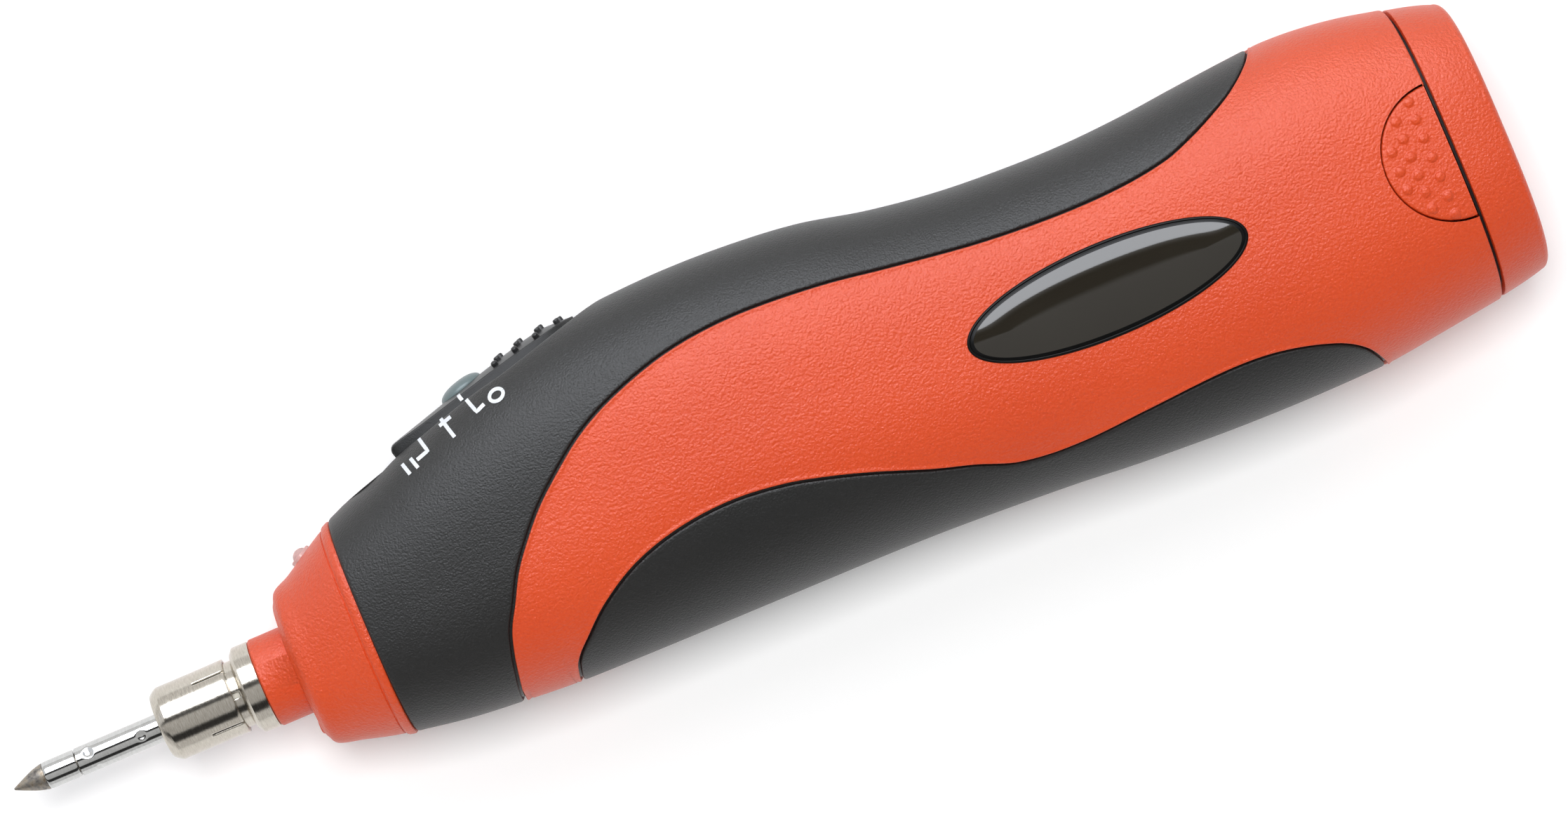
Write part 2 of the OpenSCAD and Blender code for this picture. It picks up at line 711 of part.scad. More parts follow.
module switch_wiper() {
    t0 = -carriage_top - carriage_t;
    s0 = stem_s + stem_len;
    s1 = s0 - wiper_flat;
    s2 = button_s - carriage_w / 4;
    t1 = -board_top + 2 * fit;
    color("goldenrod") for (z = [-1, 1] * wiper_z) on_track()
        translate([0, 0, z - wiper_w / 2]) linear_extrude(height = wiper_w) polygon([
            [s0, t0], [s0, t0 - wiper_t], [s1, t0 - wiper_t], [s2, t1],
            [s2 - wiper_w, t1], [s2 - wiper_w, t1 + wiper_t], [s2, t1 + wiper_t], [s1, t0]
        ]);
}
module heat_button() {
    base = slide_top(button_share, 0);
    low = base - button_skirt;
    r = button_d / 2;
    color("slategray") on_track() translate([button_s, 0, 0]) rotate([-90, 0, 0])
        rotate_extrude() polygon(concat(
            [[0, -carriage_top - carriage_t - 2 * fit],
             [button_stem_d / 2, -carriage_top - carriage_t - 2 * fit],
             [button_stem_d / 2, low], [r, low]],
            [for (a = [0:15:75]) [r * cos(a), base + button_dome * sin(a)]],
            [[0, base + button_dome]]
        ));
}
module circuit_board() {
    t = -board_top - board_t;
    color("darkgreen") {
        track_box(board_start, board_start + board_len, t, -board_top,
                  -board_w / 2, board_w / 2);
        for (c = chip_shares) {
            s = board_start + c[0] * board_len;
            z = c[1] * board_w;
            track_box(s, s + c[2] * board_len, t - chip_t, t, z, z + c[3] * board_w);
        }
    }
}
module heat_switch() {
    s = button_s - slide_travel;
    color("silver") {
        track_box(s - push_w / 2, s + push_w / 2, -board_top, push_t - board_top,
                  -push_w / 2, push_w / 2);
        track_pin(s, push_t - board_top, push_t + push_pip - board_top, push_w / 2);
    }
}
module board_ledges() {
    t = -board_top - board_t;
    for (c = ledge_shares) {
        s = board_start + c * board_len;
        x = track_x + s * cos(track_angle) - t * sin(track_angle);
        y = track_y + s * sin(track_angle) + (t - ledge_t) * cos(track_angle);
        track_box(s, s + ledge_w, t - ledge_t, t, board_w / 2 - ledge_hold,
                  wall_z(x, y) - grip_t - wall / 2);
    }
}

function eased(s) = s * s * (3 - 2 * s);
function wire_path(a, b) = [for (k = [0:wire_steps]) let (s = k / wire_steps)
    [lerp(a[0], b[0], s), lerp(a[1], b[1], eased(s)), lerp(a[2], b[2], eased(s))]];
function track_point(s, t, z) = [track_x + s * cos(track_angle) - t * sin(track_angle),
    track_y + s * sin(track_angle) + t * cos(track_angle), z];
module battery_wires() {
    t = -board_top - board_t / 2;
    s = board_start + board_len + wire_d / 2;
    color("firebrick") for (z = [-1, 1] * wire_pitch) wire(wire_path(
        track_point(s, t, z), [bay_front - fit, pack_y + wire_pitch, z]), wire_d / 2);
}
module socket_wires() {
    t = -board_top - board_t / 2;
    s = board_start - wire_d / 2;
    color("firebrick") {
        wire(wire_path([socket_rear + pin_len + fit, 0, 0], track_point(s, t, 0)),
             wire_d / 2);
        wire(wire_path([socket_rear + fit, 0, wire_pitch], track_point(s, t, 2 * wire_pitch)),
             wire_d / 2);
    }
}

module contact_plate() {
    d = grip_t + wall + run_gap + fit;
    color("black") loft([full_ring(bay_front, d), full_ring(bay_front + plate_t, d)]);
}
module cell_places() {
    for (y = [-1, 1] * cell_pitch / 2, z = [-1, 1] * cell_pitch / 2)
        translate([0, pack_y + y, z]) children();
}
module contact_leaf(x, reach) {
    translate([x, 0, 0]) rotate([0, 90, 0]) {
        translate([-leaf_w / 2, -leaf_w / 2, 0]) cube([leaf_w, leaf_w, spring_t]);
        cylinder(h = reach, d = leaf_d, $fn = small_fn);
    }
}
module bay_contacts() {
    color("goldenrod") for (y = [-1, 1] * cell_pitch / 2)
        translate([0, pack_y + y, cell_pitch / 2])
            contact_leaf(bay_front + plate_t, spring_gap + run_gap - fit);
}
module pack_plate(x) {
    p = cell_pitch / 2;
    translate([x, pack_y, 0]) rotate([0, 90, 0]) linear_extrude(height = plate_t) {
        for (y = [-p, p], z = [-p, p]) translate([z, y]) circle(pack_r);
        square([2 * (p + pack_r), 2 * p], center = true);
        square([2 * p, 2 * (p + pack_r)], center = true);
    }
}
module battery_carrier() {
    color("black") {
        pack_plate(pack_start);
        pack_plate(pack_end - plate_t);
        translate([pack_start, pack_y, 0]) rotate([0, 90, 0])
            cylinder(h = pack_len, d = spine_d);
    }
}
module carrier_contacts() {
    color("silver") cell_places() {
        contact_leaf(pack_start + plate_t, spring_gap - fit);
        translate([pack_end - plate_t, 0, 0]) mirror([1, 0, 0])
            contact_leaf(0, spring_gap - fit);
    }
}
// Cells lie head to tail: 1 and 2 on the near side, 3 and 4 on the far side
module battery_cell(i) {
    y = (i % 2 == 0 ? -1 : 1) * cell_pitch / 2;
    z = (i < 3 ? 1 : -1) * cell_pitch / 2;
    flip = i == 1 || i == 4;
    color("steelblue")
        translate([(pack_start + pack_end) / 2, pack_y + y, z])
            rotate([0, flip ? -90 : 90, 0]) translate([0, 0, -cell_len / 2]) {
                cylinder(h = cell_len - cell_nub_t, d = cell_d);
                cylinder(h = cell_len, d = cell_nub_d, $fn = small_fn);
            }
}
module housing_screws() {
    color("dimgray") for (i = [0:len(screw_shares) - 1])
        translate([each screw_at(i), -screw_seat]) {
            cylinder(h = screw_seat + screw_bite, d = screw_d, $fn = small_fn);
            difference() {
                translate([0, 0, -screw_head_t])
                    cylinder(h = screw_head_t, d = screw_head_d, $fn = small_fn);
                for (a = [0, 90]) rotate([0, 0, a])
                    translate([-screw_d / 2, -screw_slot / 2, -2 * screw_head_t])
                        cube([screw_d, screw_slot, 1.5 * screw_head_t]);
            }
        }
}

// Release pad: a half-moon of the skin with bumps, and a flange behind the wall
module pad_slab(r, d0, d1) {
    y_side = 90;
    intersection() {
        loft([for (k = [0:pad_steps]) let (x = lerp(x_seam - r - over, x_seam - fit, k / pad_steps))
            concat(skin_arc(x, y_side - pad_sweep, y_side + pad_sweep, ring_facets / 4, d0),
                   skin_arc(x, y_side + pad_sweep, y_side - pad_sweep, ring_facets / 4, d1))],
            thin = true);
        translate([x_seam, pack_y, 0]) cylinder(h = body_w, r = r);
    }
}
// The back is cut flat, so that a pressed pad clears the cells that slide past it
module release_pad() {
    back = grip_t + wall + run_gap;
    flat = cell_pitch / 2 + pack_r + pad_travel + run_gap;
    difference() {
        union() {
            pad_slab(pad_r - run_gap, 0, back + pad_flange_t / 2);
            pad_slab(pad_r + pad_flange, back, back + pad_flange_t);
            for (b = pad_bump_shares) {
                x = x_seam - b[0] * pad_r;
                y = pack_y + b[1] * pad_r;
                translate([x, y, wall_z(x, y) - bump_d]) cylinder(
                    h = bump_d + bump_proud, d = bump_d, $fn = small_fn);
            }
        }
        translate([x_seam - 2 * pad_r, pack_y - 2 * pad_r, 0])
            cube([4 * pad_r, 4 * pad_r, flat]);
    }
}
module release_near() { color("orangered") release_pad(); }
module release_far() { color("orangered") mirror([0, 0, 1]) release_pad(); }

module cap_skirt() {
    d = grip_t + wall + 2 * run_gap;
    clear = 2 * (pad_r + pad_flange + 2 * run_gap);
    difference() {
        loft(concat([ring_at(x_seam - skirt_len, full_ring(x_seam, d))],
            [for (x = [x_seam, x_end - cap_floor + fit]) full_ring(x, d)]));
        loft(concat([ring_at(x_seam - skirt_len - over, full_ring(x_seam, d + skirt_t))],
            [for (x = [x_seam, x_end - cap_floor]) full_ring(x, d + skirt_t)]));
        translate([x_seam - skirt_len - over, pack_y - clear / 2, -body_w])
            cube([skirt_len + over + seam_gap, clear, 2 * body_w]);
    }
}
module end_cap() {
    reach = side_z(x_seam) - grip_t - wall - pad_flange_t - pad_travel - 2 * run_gap;
    color("orangered") union() {
        difference() {
            loft([for (s = cap_station_shares) full_ring(max(x_seam + seam_gap,
                x_seam + s * cap_len))]);
            loft([ring_at(x_seam + seam_gap - over, full_ring(x_seam + seam_gap, cap_wall)),
                full_ring(x_end - cap_floor, cap_wall)]);
        }
        cap_skirt();
        for (side = [0, 1]) mirror([0, 0, side])
            translate([x_seam - tongue_len, pack_y - tongue_w / 2, reach - tongue_t])
                cube([tongue_len + cap_len - cap_floor + fit, tongue_w, tongue_t]);
    }
}
module cap_seal() {
    color("black") difference() {
        loft([for (x = [x_seam + run_gap / 2, x_seam + seam_gap]) full_ring(x, seal_depth)]);
        loft([for (x = [x_seam + run_gap / 2 - over, x_seam + seam_gap + over])
            ring_at(x, full_ring(x_seam, grip_t + wall + run_gap))]);
    }
}

module tip_bit() {
    r = tip_d / 2;
    color("gray") along_x(0) rotate_extrude() polygon([
        [0, 0], [bit_point_r, 0], [r, cone_len], [core_d / 2, cone_len],
        [core_d / 2, x_tube + core_reach], [0, x_tube + core_reach]
    ]);
}
module tip_sleeve() {
    color("silver") along_x(x_sleeve) difference() {
        cylinder(h = sleeve_len - groove_w, d = tip_d - fit / 2);
        translate([0, 0, -over]) cylinder(h = sleeve_len + 2 * over, d = core_d + fit);
    }
}
tube_end = x_barrel + barrel_front + holder_len / 2;
module heater_tube() {
    d = tip_d + fit;
    color("silver") difference() {
        along_x(x_tube) cylinder(h = tube_end - x_tube, d = d);
        along_x(x_tube - over) cylinder(h = tube_end - x_tube + 2 * over,
                                        d = d - 2 * tube_wall);
        for (c = crimp_shares) rotate([c[1], 0, 0])
            translate([lerp(x_tube, x_barrel, c[0]), 0, d / 2 + c[2] * tip_d * .6])
                sphere(d = c[2] * 2 * tip_d * .8, $fn = small_fn);
    }
}
module heater_core() {
    start = x_tube + core_reach + fit;
    color("ivory") along_x(start)
        cylinder(h = tube_end - start, d = tip_d - 2 * tube_wall - 4 * fit);
}
module tip_barrel() {
    r = barrel_d / 2;
    q = r - barrel_wall;
    hole = tip_d / 2 + fit;
    color("lightgray") difference() {
        along_x(x_barrel) rotate_extrude() polygon([
            [hole, 0], [r - barrel_edge * .85, 0], [r - barrel_edge * .5, barrel_edge * .35],
            [r - barrel_edge * .2, barrel_edge], [r, barrel_edge * 1.9], [r, barrel_len],
            [q, barrel_len], [q, barrel_front], [hole, barrel_front]
        ]);
        for (a = [45:90:315]) rotate([a, 0, 0])
            translate([x_neck - slot_len, -slot_w / 2, 0])
                cube([slot_len + over, slot_w, barrel_d]);
    }
}
module tip_holder() {
    color("ivory") along_x(x_barrel + barrel_front) difference() {
        cylinder(h = holder_len, d = barrel_d - 2 * barrel_wall - fit);
        translate([0, 0, -over]) cylinder(h = over + holder_len / 2, d = tip_d + 2 * fit);
        translate([0, 0, -over]) cylinder(h = 2 * over + holder_len, d = rod_d + fit);
    }
}
module tip_rod() {
    color("goldenrod") along_x(tube_end)
        cylinder(h = socket_rear + pin_len * .7 - tube_end, d = rod_d);
}

// The whole object's reach, which sets the frame's origin
all_stations = concat(
    [for (s = nose_station_shares) x_nose + s * nose_len],
    [for (s = concat(front_station_shares, strip_station_shares, rear_station_shares))
        body_x(s)]
);
top_reach = max(concat([for (x = all_stations) top_y(x)],
    [for (r = nub_row_shares) nub_reach(r[0] + nub_bow / slide_len)]));
low_reach = min([for (x = all_stations) low_y(x)]);
side_reach = max([for (x = all_stations) side_z(x)]);
module place() {
    translate([-x_end / 2, -(top_reach + low_reach) / 2, side_reach]) children();
}

place() housing_near();
place() housing_far();
place() nose_cap();
place() grip_top_near();
place() grip_top_far();
place() grip_bottom_near();
place() grip_bottom_far();
place() badge_plate();
place() badge_dome();
place() led();
place() switch_track();
place() circuit_board();
place() heat_switch();
place() socket_ring();
place() socket_insulator();
place() socket_pin();
place() contact_plate();
place() bay_contacts();
place() housing_screws();
place() battery_wires();
place() socket_wires();
place() slide_switch();
place() switch_carriage();
place() switch_wiper();
place() heat_button();
place() release_near();
place() release_far();
place() end_cap();
place() cap_seal();
place() battery_carrier();
place() battery_cell(1);  // battery_cell_1
place() battery_cell(2);  // battery_cell_2
place() battery_cell(3);  // battery_cell_3
place() battery_cell(4);  // battery_cell_4
place() carrier_contacts();
place() tip_bit();
place() tip_sleeve();
place() heater_tube();
place() heater_core();
place() tip_barrel();
place() tip_holder();
place() tip_rod();
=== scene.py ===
# Cordless soldering iron: looks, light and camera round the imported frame.
# Shapes are worked out in millimetres from the point of the tip, the heater axis and the
# parting plane of the housing, and toFrame() moves them to the frame, in metres.
import math

import bpy
import bmesh
import numpy as np
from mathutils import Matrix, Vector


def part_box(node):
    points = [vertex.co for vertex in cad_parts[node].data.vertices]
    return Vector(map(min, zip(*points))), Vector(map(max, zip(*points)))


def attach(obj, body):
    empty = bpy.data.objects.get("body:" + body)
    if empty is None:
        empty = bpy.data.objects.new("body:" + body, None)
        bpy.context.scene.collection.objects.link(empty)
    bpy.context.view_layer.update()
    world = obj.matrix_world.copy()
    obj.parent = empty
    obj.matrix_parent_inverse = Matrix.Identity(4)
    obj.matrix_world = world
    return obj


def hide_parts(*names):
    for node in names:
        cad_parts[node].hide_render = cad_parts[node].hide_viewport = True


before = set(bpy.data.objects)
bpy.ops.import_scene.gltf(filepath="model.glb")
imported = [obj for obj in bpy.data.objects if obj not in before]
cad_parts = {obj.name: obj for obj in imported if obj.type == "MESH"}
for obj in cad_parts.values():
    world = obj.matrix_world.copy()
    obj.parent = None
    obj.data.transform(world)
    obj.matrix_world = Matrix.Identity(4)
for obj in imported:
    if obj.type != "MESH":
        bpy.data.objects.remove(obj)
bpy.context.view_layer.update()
print("frame loaded:", len(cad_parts), "nodes")

# The frame's shift is read from two CAD pieces that stand on the heater axis
ringLow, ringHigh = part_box("socket_ring")
shift = np.array([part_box("tip_bit")[0][0] * 1000,
                  (ringLow[1] + ringHigh[1]) * 500, (ringLow[2] + ringHigh[2]) * 500])

# Outline of the handle
handle = {
    "noseX": 42.4, "bodyX": 54.1, "seamX": 213.5, "endX": 221.4,
    "height": 48.0, "width": 41.0,
    "nosePower": 2.2, "topPower": 2.8, "lowPower": 2.5,
    "wall": 2.8, "innerSplit": 200, "splitGap": .4,
}
outline = {
    "noseTop": [[0, .196], [.07, .228], [.3, .256], [.6, .3], [.85, .335], [1, .352]],
    "noseLow": [[0, -.21], [.06, -.236], [.4, -.26], [.7, -.28], [1, -.296]],
    "noseSide": [[0, .2], [.07, .232], [.3, .26], [.6, .3], [.85, .335], [1, .352]],
    "bodyTop": [
        [0, .357], [.023, .388], [.047, .418], [.083, .468], [.125, .524], [.179, .582],
        [.24, .622], [.288, .634], [.348, .641], [.409, .634], [.469, .613], [.529, .57],
        [.59, .541], [.65, .528], [.705, .525], [.76, .534], [.81, .55], [.86, .565],
        [.895, .572], [.928, .567], [.964, .551], [1, .525]],
    "bodyLow": [
        [0, -.296], [.047, -.321], [.095, -.336], [.143, -.347], [.203, -.351],
        [.324, -.354], [.445, -.357], [.505, -.363], [.602, -.381], [.65, -.395],
        [.686, -.403], [.747, -.413], [.807, -.417], [.867, -.415], [.895, -.411],
        [.94, -.393], [1, -.367]],
    "bodySide": [
        [0, .36], [.05, .4], [.14, .45], [.3, .496], [.38, .5], [.46, .496], [.56, .48],
        [.66, .472], [.76, .482], [.86, .494], [.91, .492], [.95, .484], [1, .47]],
    "capTop": [[0, .522], [.5, .502], [.86, .482], [.96, .47], [1, .45]],
    "capLow": [[0, -.364], [.5, -.35], [.86, -.336], [.96, -.326], [1, -.308]],
    "capSide": [[0, .467], [.5, .454], [.86, .438], [.96, .428], [1, .408]],
}
# Edges of the grips: share of the handle's length and of its height
upperEdge = [
    [.0955, 0], [.1, .075], [.105, .16], [.112, .243], [.124, .322], [.136, .398],
    [.148, .453], [.172, .538], [.196, .6], [.231, .674], [.278, .737], [.326, .777],
    [.385, .798], [.467, .802], [.539, .809], [.634, .803], [.728, .806], [.775, .82],
    [.799, .841], [.823, .87], [.848, .908], [.87, .958], [.882, 1]]
lowerEdge = [
    [.148, 0], [.154, .063], [.171, .125], [.195, .194], [.231, .261], [.278, .304],
    [.326, .316], [.373, .301], [.408, .275], [.444, .241], [.491, .191], [.527, .162],
    [.563, .126], [.61, .12], [.681, .151], [.752, .175], [.799, .167], [.847, .123],
    [.872, .072], [.888, 0]]


def smoothCurve(table, x):
    # Cubic pieces through the pairs; each pair's slope is that of the line joining its neighbours
    t = np.asarray(table, float)
    x = np.asarray(x, float)
    n = len(t)
    before, after = np.maximum(np.arange(n) - 1, 0), np.minimum(np.arange(n) + 1, n - 1)
    slope = (t[after, 1] - t[before, 1]) / (t[after, 0] - t[before, 0])
    i = np.clip(np.searchsorted(t[:, 0], x, side="right") - 1, 0, n - 2)
    h = t[i + 1, 0] - t[i, 0]
    s = (x - t[i, 0]) / h
    return ((2 * s ** 3 - 3 * s ** 2 + 1) * t[i, 1] + (s ** 3 - 2 * s ** 2 + s) * h * slope[i]
            + (3 * s ** 2 - 2 * s ** 3) * t[i + 1, 1] + (s ** 3 - s ** 2) * h * slope[i + 1])


def outlineAt(x, side):
    # Share of the height or width at x, from the nose's, the body's or the cap's table
    x = np.asarray(x, float)
    noseX, bodyX, seamX, endX = (handle[k] for k in ("noseX", "bodyX", "seamX", "endX"))
    nose = smoothCurve(outline["nose" + side], (x - noseX) / (bodyX - noseX))
    body = smoothCurve(outline["body" + side], (x - bodyX) / (seamX - bodyX))
    cap = smoothCurve(outline["cap" + side], (x - seamX) / (endX - seamX))
    return np.where(x < bodyX, nose, np.where(x <= seamX, body, cap))


def sectionAt(x):
    # Middle height, half height and half width of the handle's section at x
    top = handle["height"] * outlineAt(x, "Top")
    low = handle["height"] * outlineAt(x, "Low")
    return (top + low) / 2, (top - low) / 2, handle["width"] * outlineAt(x, "Side")


def powerAt(x, up):
    # Squareness of the section: grows from the nose's to the body's within two nose lengths
    share = np.clip((x - handle["noseX"]) / 2 / (handle["bodyX"] - handle["noseX"]), 0, 1)
    body = np.where(up, handle["topPower"], handle["lowPower"])
    return handle["nosePower"] + (body - handle["nosePower"]) * share


def signedPower(v, p):
    # The size of v to the power p, with v's own sign
    return np.sign(v) * np.abs(v) ** p


def skin(x, angle, inset=0.0):
    # Superellipse: y = middle + h cos^(2/p), z = w sin^(2/p); angle 0 at the top, 90 on the
    # near side, 180 below
    x, angle, inset = np.broadcast_arrays(np.asarray(x, float), np.asarray(angle, float),
                                          np.asarray(inset, float))
    middle, h, w = sectionAt(x)
    c, s = np.cos(np.radians(angle)), np.sin(np.radians(angle))
    c = np.where(np.abs(c) < 1e-12, 0, c)
    s = np.where(np.abs(s) < 1e-12, 0, s)
    e = 2 / powerAt(x, c > 0)
    return np.stack([x, middle + (h - inset) * signedPower(c, e),
                     (w - inset) * signedPower(s, e)], -1)


def angleOf(x, y):
    # The angle at which the skin at x has the height y
    middle, h, _ = sectionAt(x)
    u = np.clip((y - middle) / h, -1, 1)
    return np.degrees(np.arccos(signedPower(u, powerAt(x, u > 0) / 2)))


def skinZ(x, y, inset=0.0):
    # Half width of the skin where it has the height y
    middle, h, w = sectionAt(x)
    u = (y - middle) / (h - inset)
    p = powerAt(x, u > 0)
    return (w - inset) * np.clip(1 - np.abs(u) ** p, 0, 1) ** (1 / p)


def skinY(x, z, inset=0.0):
    # Height of the upper skin at the width z
    middle, h, w = sectionAt(x)
    p = powerAt(x, True)
    return middle + (h - inset) * np.clip(1 - np.abs(z / (w - inset)) ** p, 0, 1) ** (1 / p)


def skinNormal(x, angle):
    # Cross product of the skin's two slopes, pointing outwards
    step = 0.02
    along = skin(x + step, angle) - skin(x - step, angle)
    round_ = skin(x, np.clip(angle + 0.2, 0, 180)) - skin(x, np.clip(angle - 0.2, 0, 180))
    n = np.cross(round_, along)
    return n / np.maximum(np.linalg.norm(n, axis=-1, keepdims=True), 1e-9)


# Meshes
def toFrame(points):
    return (np.asarray(points, float).reshape(-1, 3) + shift) / 1000


def gridFaces(rows, cols, roundRows=False, roundCols=False):
    # Quads between neighbours of a rows x cols grid; either way may close on itself
    r = np.arange(rows if roundRows else rows - 1)
    c = np.arange(cols if roundCols else cols - 1)
    r, c = np.meshgrid(r, c, indexing="ij")
    r2, c2 = (r + 1) % rows, (c + 1) % cols
    return np.stack([r * cols + c, r * cols + c2, r2 * cols + c2, r2 * cols + c], -1).reshape(-1, 4)


def sheetOf(points, roundCols=False, keep=None):
    # A grid of points as (points, faces); keep drops faces whose four corners are all out
    rows, cols = points.shape[:2]
    faces = gridFaces(rows, cols, roundCols=roundCols)
    if keep is not None:
        faces = faces[keep.reshape(-1)[faces].any(1)]
    return points.reshape(-1, 3), faces


def joined(parts):
    # Several (points, faces) as one, each part's faces counted on from the last
    points, faces, start = [], [], 0
    for p, f in parts:
        points.append(p)
        faces.append(f + start)
        start += len(p)
    return np.concatenate(points), np.concatenate(faces)


def mirrored(part):
    # The same part on the far side of the parting plane
    points, faces = part
    return points * np.array([1, 1, -1]), faces[:, ::-1]


def makePiece(name, parts, body, material, nodes=(), sharp=38, mergeMm=0.002):
    # A mesh in the frame, its doubles merged and its faces turned outwards, smooth up to the
    # angle sharp; it rides its body and stands for the CAD nodes that it replaces
    points, faces = joined(parts if isinstance(parts, list) else [parts])
    mesh = bpy.data.meshes.new(name)
    mesh.from_pydata(toFrame(points), [], faces.tolist())
    bm = bmesh.new()
    bm.from_mesh(mesh)
    bmesh.ops.remove_doubles(bm, verts=bm.verts, dist=mergeMm / 1000)
    bmesh.ops.dissolve_degenerate(bm, edges=bm.edges, dist=mergeMm / 2000)
    bmesh.ops.delete(bm, geom=[v for v in bm.verts if not v.link_faces], context="VERTS")
    bmesh.ops.recalc_face_normals(bm, faces=bm.faces)
    bm.to_mesh(mesh)
    bm.free()
    mesh.shade_smooth()
    mesh.set_sharp_from_angle(angle=math.radians(sharp))
    mesh.materials.append(material)
    piece = bpy.data.objects.new(name, mesh)
    bpy.context.scene.collection.objects.link(piece)
    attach(piece, body)
    if nodes:
        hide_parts(*nodes)
    return piece


def turned(profile, segments=96, closed=False):
    # Profile points (x, r) carried round the heater axis: y = r cos, z = r sin
    profile = np.asarray(profile, float)
    a = np.radians(np.arange(segments) * 360 / segments)
    x, r = profile[:, :1], profile[:, 1:2]
    points = np.stack([x + 0 * a, r * np.cos(a), r * np.sin(a)], -1)
    return points.reshape(-1, 3), gridFaces(len(profile), segments, closed, True)


def arc(cx, cr, radius, start, end, steps=6):
    # Points of a quarter round in a profile, angles in degrees from +x towards +r
    a = np.radians(np.linspace(start, end, steps))
    return [[cx + radius * math.cos(v), cr + radius * math.sin(v)] for v in a]


# Materials
def colour(hexCode):
    # sRGB hex to the linear values that Blender takes
    raw = [int(hexCode[i:i + 2], 16) / 255 for i in (1, 3, 5)]
    return tuple(v / 12.92 if v <= .04045 else ((v + .055) / 1.055) ** 2.4 for v in raw) + (1,)


def addNode(tree, kind, settings=(), links=()):
    # One node with its settings and the sockets that feed it
    node = tree.nodes.new(kind)
    for key, value in dict(settings).items():
        if isinstance(key, str) and hasattr(node, key):
            setattr(node, key, value)
        else:
            node.inputs[key].default_value = value
    for key, source in dict(links).items():
        tree.links.new(source, node.inputs[key])
    return node


def newMaterial(name, settings):
    # A plain Principled finish and its Object coordinates in millimetres, to build on
    material = bpy.data.materials.new(name)
    material.use_nodes = True
    tree = material.node_tree
    shader = tree.nodes["Principled BSDF"]
    for key, value in settings.items():
        shader.inputs[key].default_value = value
    where = addNode(tree, "ShaderNodeTexCoord")
    mm = addNode(tree, "ShaderNodeVectorMath", {"operation": "SCALE", "Scale": 1000.0},
                 {0: where.outputs["Object"]})
    return material, tree, shader, mm.outputs[0]


def ramp(tree, source, stops):
    # A colour ramp through pairs of place and shade, a shade being a hex code or a grey level
    node = addNode(tree, "ShaderNodeValToRGB", {}, {"Fac": source})
    elements = node.color_ramp.elements
    elements[0].position, elements[1].position = stops[0][0], stops[-1][0]
    for place, _ in stops[1:-1]:
        elements.new(place)
    for element, (_, shade) in zip(elements, stops):
        element.color = colour(shade) if isinstance(shade, str) else (shade, shade, shade, 1)
    return node.outputs["Color"]


def bumpOn(tree, shader, height, strength, distance):
    # Fine relief from a height, its distance in metres
    node = addNode(tree, "ShaderNodeBump", {"Strength": strength, "Distance": distance},
                   {"Height": height})
    tree.links.new(node.outputs["Normal"], shader.inputs["Normal"])


def toneOn(tree, shader, source, stops):
    # Base colour from a ramp over the noise
    tree.links.new(ramp(tree, source, stops), shader.inputs["Base Color"])


def glossOn(tree, shader, source, low, high):
    # Roughness that follows the noise between two values
    rough = addNode(tree, "ShaderNodeMapRange", {"To Min": low, "To Max": high}, {"Value": source})
    tree.links.new(rough.outputs[0], shader.inputs["Roughness"])


def grainedPlastic(name, spec):
    # Moulded plastic with a spark-eroded grain: pebbles of grainMm, softened by finer noise
    material, tree, shader, mm = newMaterial(name, {
        "Roughness": spec["roughness"], "IOR": spec["ior"]})
    pebbles = addNode(tree, "ShaderNodeTexVoronoi", {
        "feature": "SMOOTH_F1", "Scale": 1 / spec["grainMm"], "Smoothness": 0.6}, {"Vector": mm})
    fine = addNode(tree, "ShaderNodeTexNoise", {
        "Scale": 1.6 / spec["grainMm"], "Detail": 3.0, "Roughness": 0.6}, {"Vector": mm})
    height = addNode(tree, "ShaderNodeMath", {"operation": "MULTIPLY_ADD", 1: -0.7}, {
        0: pebbles.outputs["Distance"], 2: fine.outputs["Fac"]})
    bumpOn(tree, shader, height.outputs[0], spec["bump"], spec["depthMm"] / 1000)
    cloud = addNode(tree, "ShaderNodeTexNoise", {"Scale": 0.035, "Detail": 2.0}, {"Vector": mm})
    tone = ramp(tree, cloud.outputs["Fac"], [(0.3, spec["dark"]), (0.7, spec["colour"])])
    speck = ramp(tree, fine.outputs["Fac"], [(0.35, spec["dark"]), (0.65, spec["light"])])
    blend = addNode(tree, "ShaderNodeMix", {"data_type": "RGBA", 0: spec["speckle"]},
                    {6: tone, 7: speck})
    tree.links.new(blend.outputs[2], shader.inputs["Base Color"])
    return material


def turnedMetal(name, spec):
    # Plated or bare metal turned on a lathe: fine lines run round the heater axis
    material, tree, shader, mm = newMaterial(name, {
        "Metallic": 1.0, "Roughness": spec["roughness"]})
    stretched = addNode(tree, "ShaderNodeMapping", {"Scale": spec["lines"]}, {"Vector": mm})
    lines = addNode(tree, "ShaderNodeTexNoise", {"Scale": 1.0, "Detail": 4.0, "Roughness": 0.7},
                    {"Vector": stretched.outputs[0]})
    source = lines.outputs["Fac"]
    toneOn(tree, shader, source, [(0.25, spec["dark"]), (0.75, spec["colour"])])
    bumpOn(tree, shader, source, spec["bump"], 0.00002)
    glossOn(tree, shader, source, spec["roughness"] * .7, spec["roughness"] * 1.4)
    return material


def plainFinish(name, spec):
    # A smooth finish with a trace of unevenness in colour and gloss
    material, tree, shader, mm = newMaterial(name, spec.get("shader", {}))
    noise = addNode(tree, "ShaderNodeTexNoise", {"Scale": spec.get("scale", 0.6), "Detail": 3.0},
                    {"Vector": mm})
    source = noise.outputs["Fac"]
    toneOn(tree, shader, source, [(0.3, spec["dark"]), (0.7, spec["colour"])])
    glossOn(tree, shader, source, spec["roughness"] * .85, spec["roughness"] * 1.15)
    if "bump" in spec:
        bumpOn(tree, shader, source, spec["bump"], 0.00005)
    return material


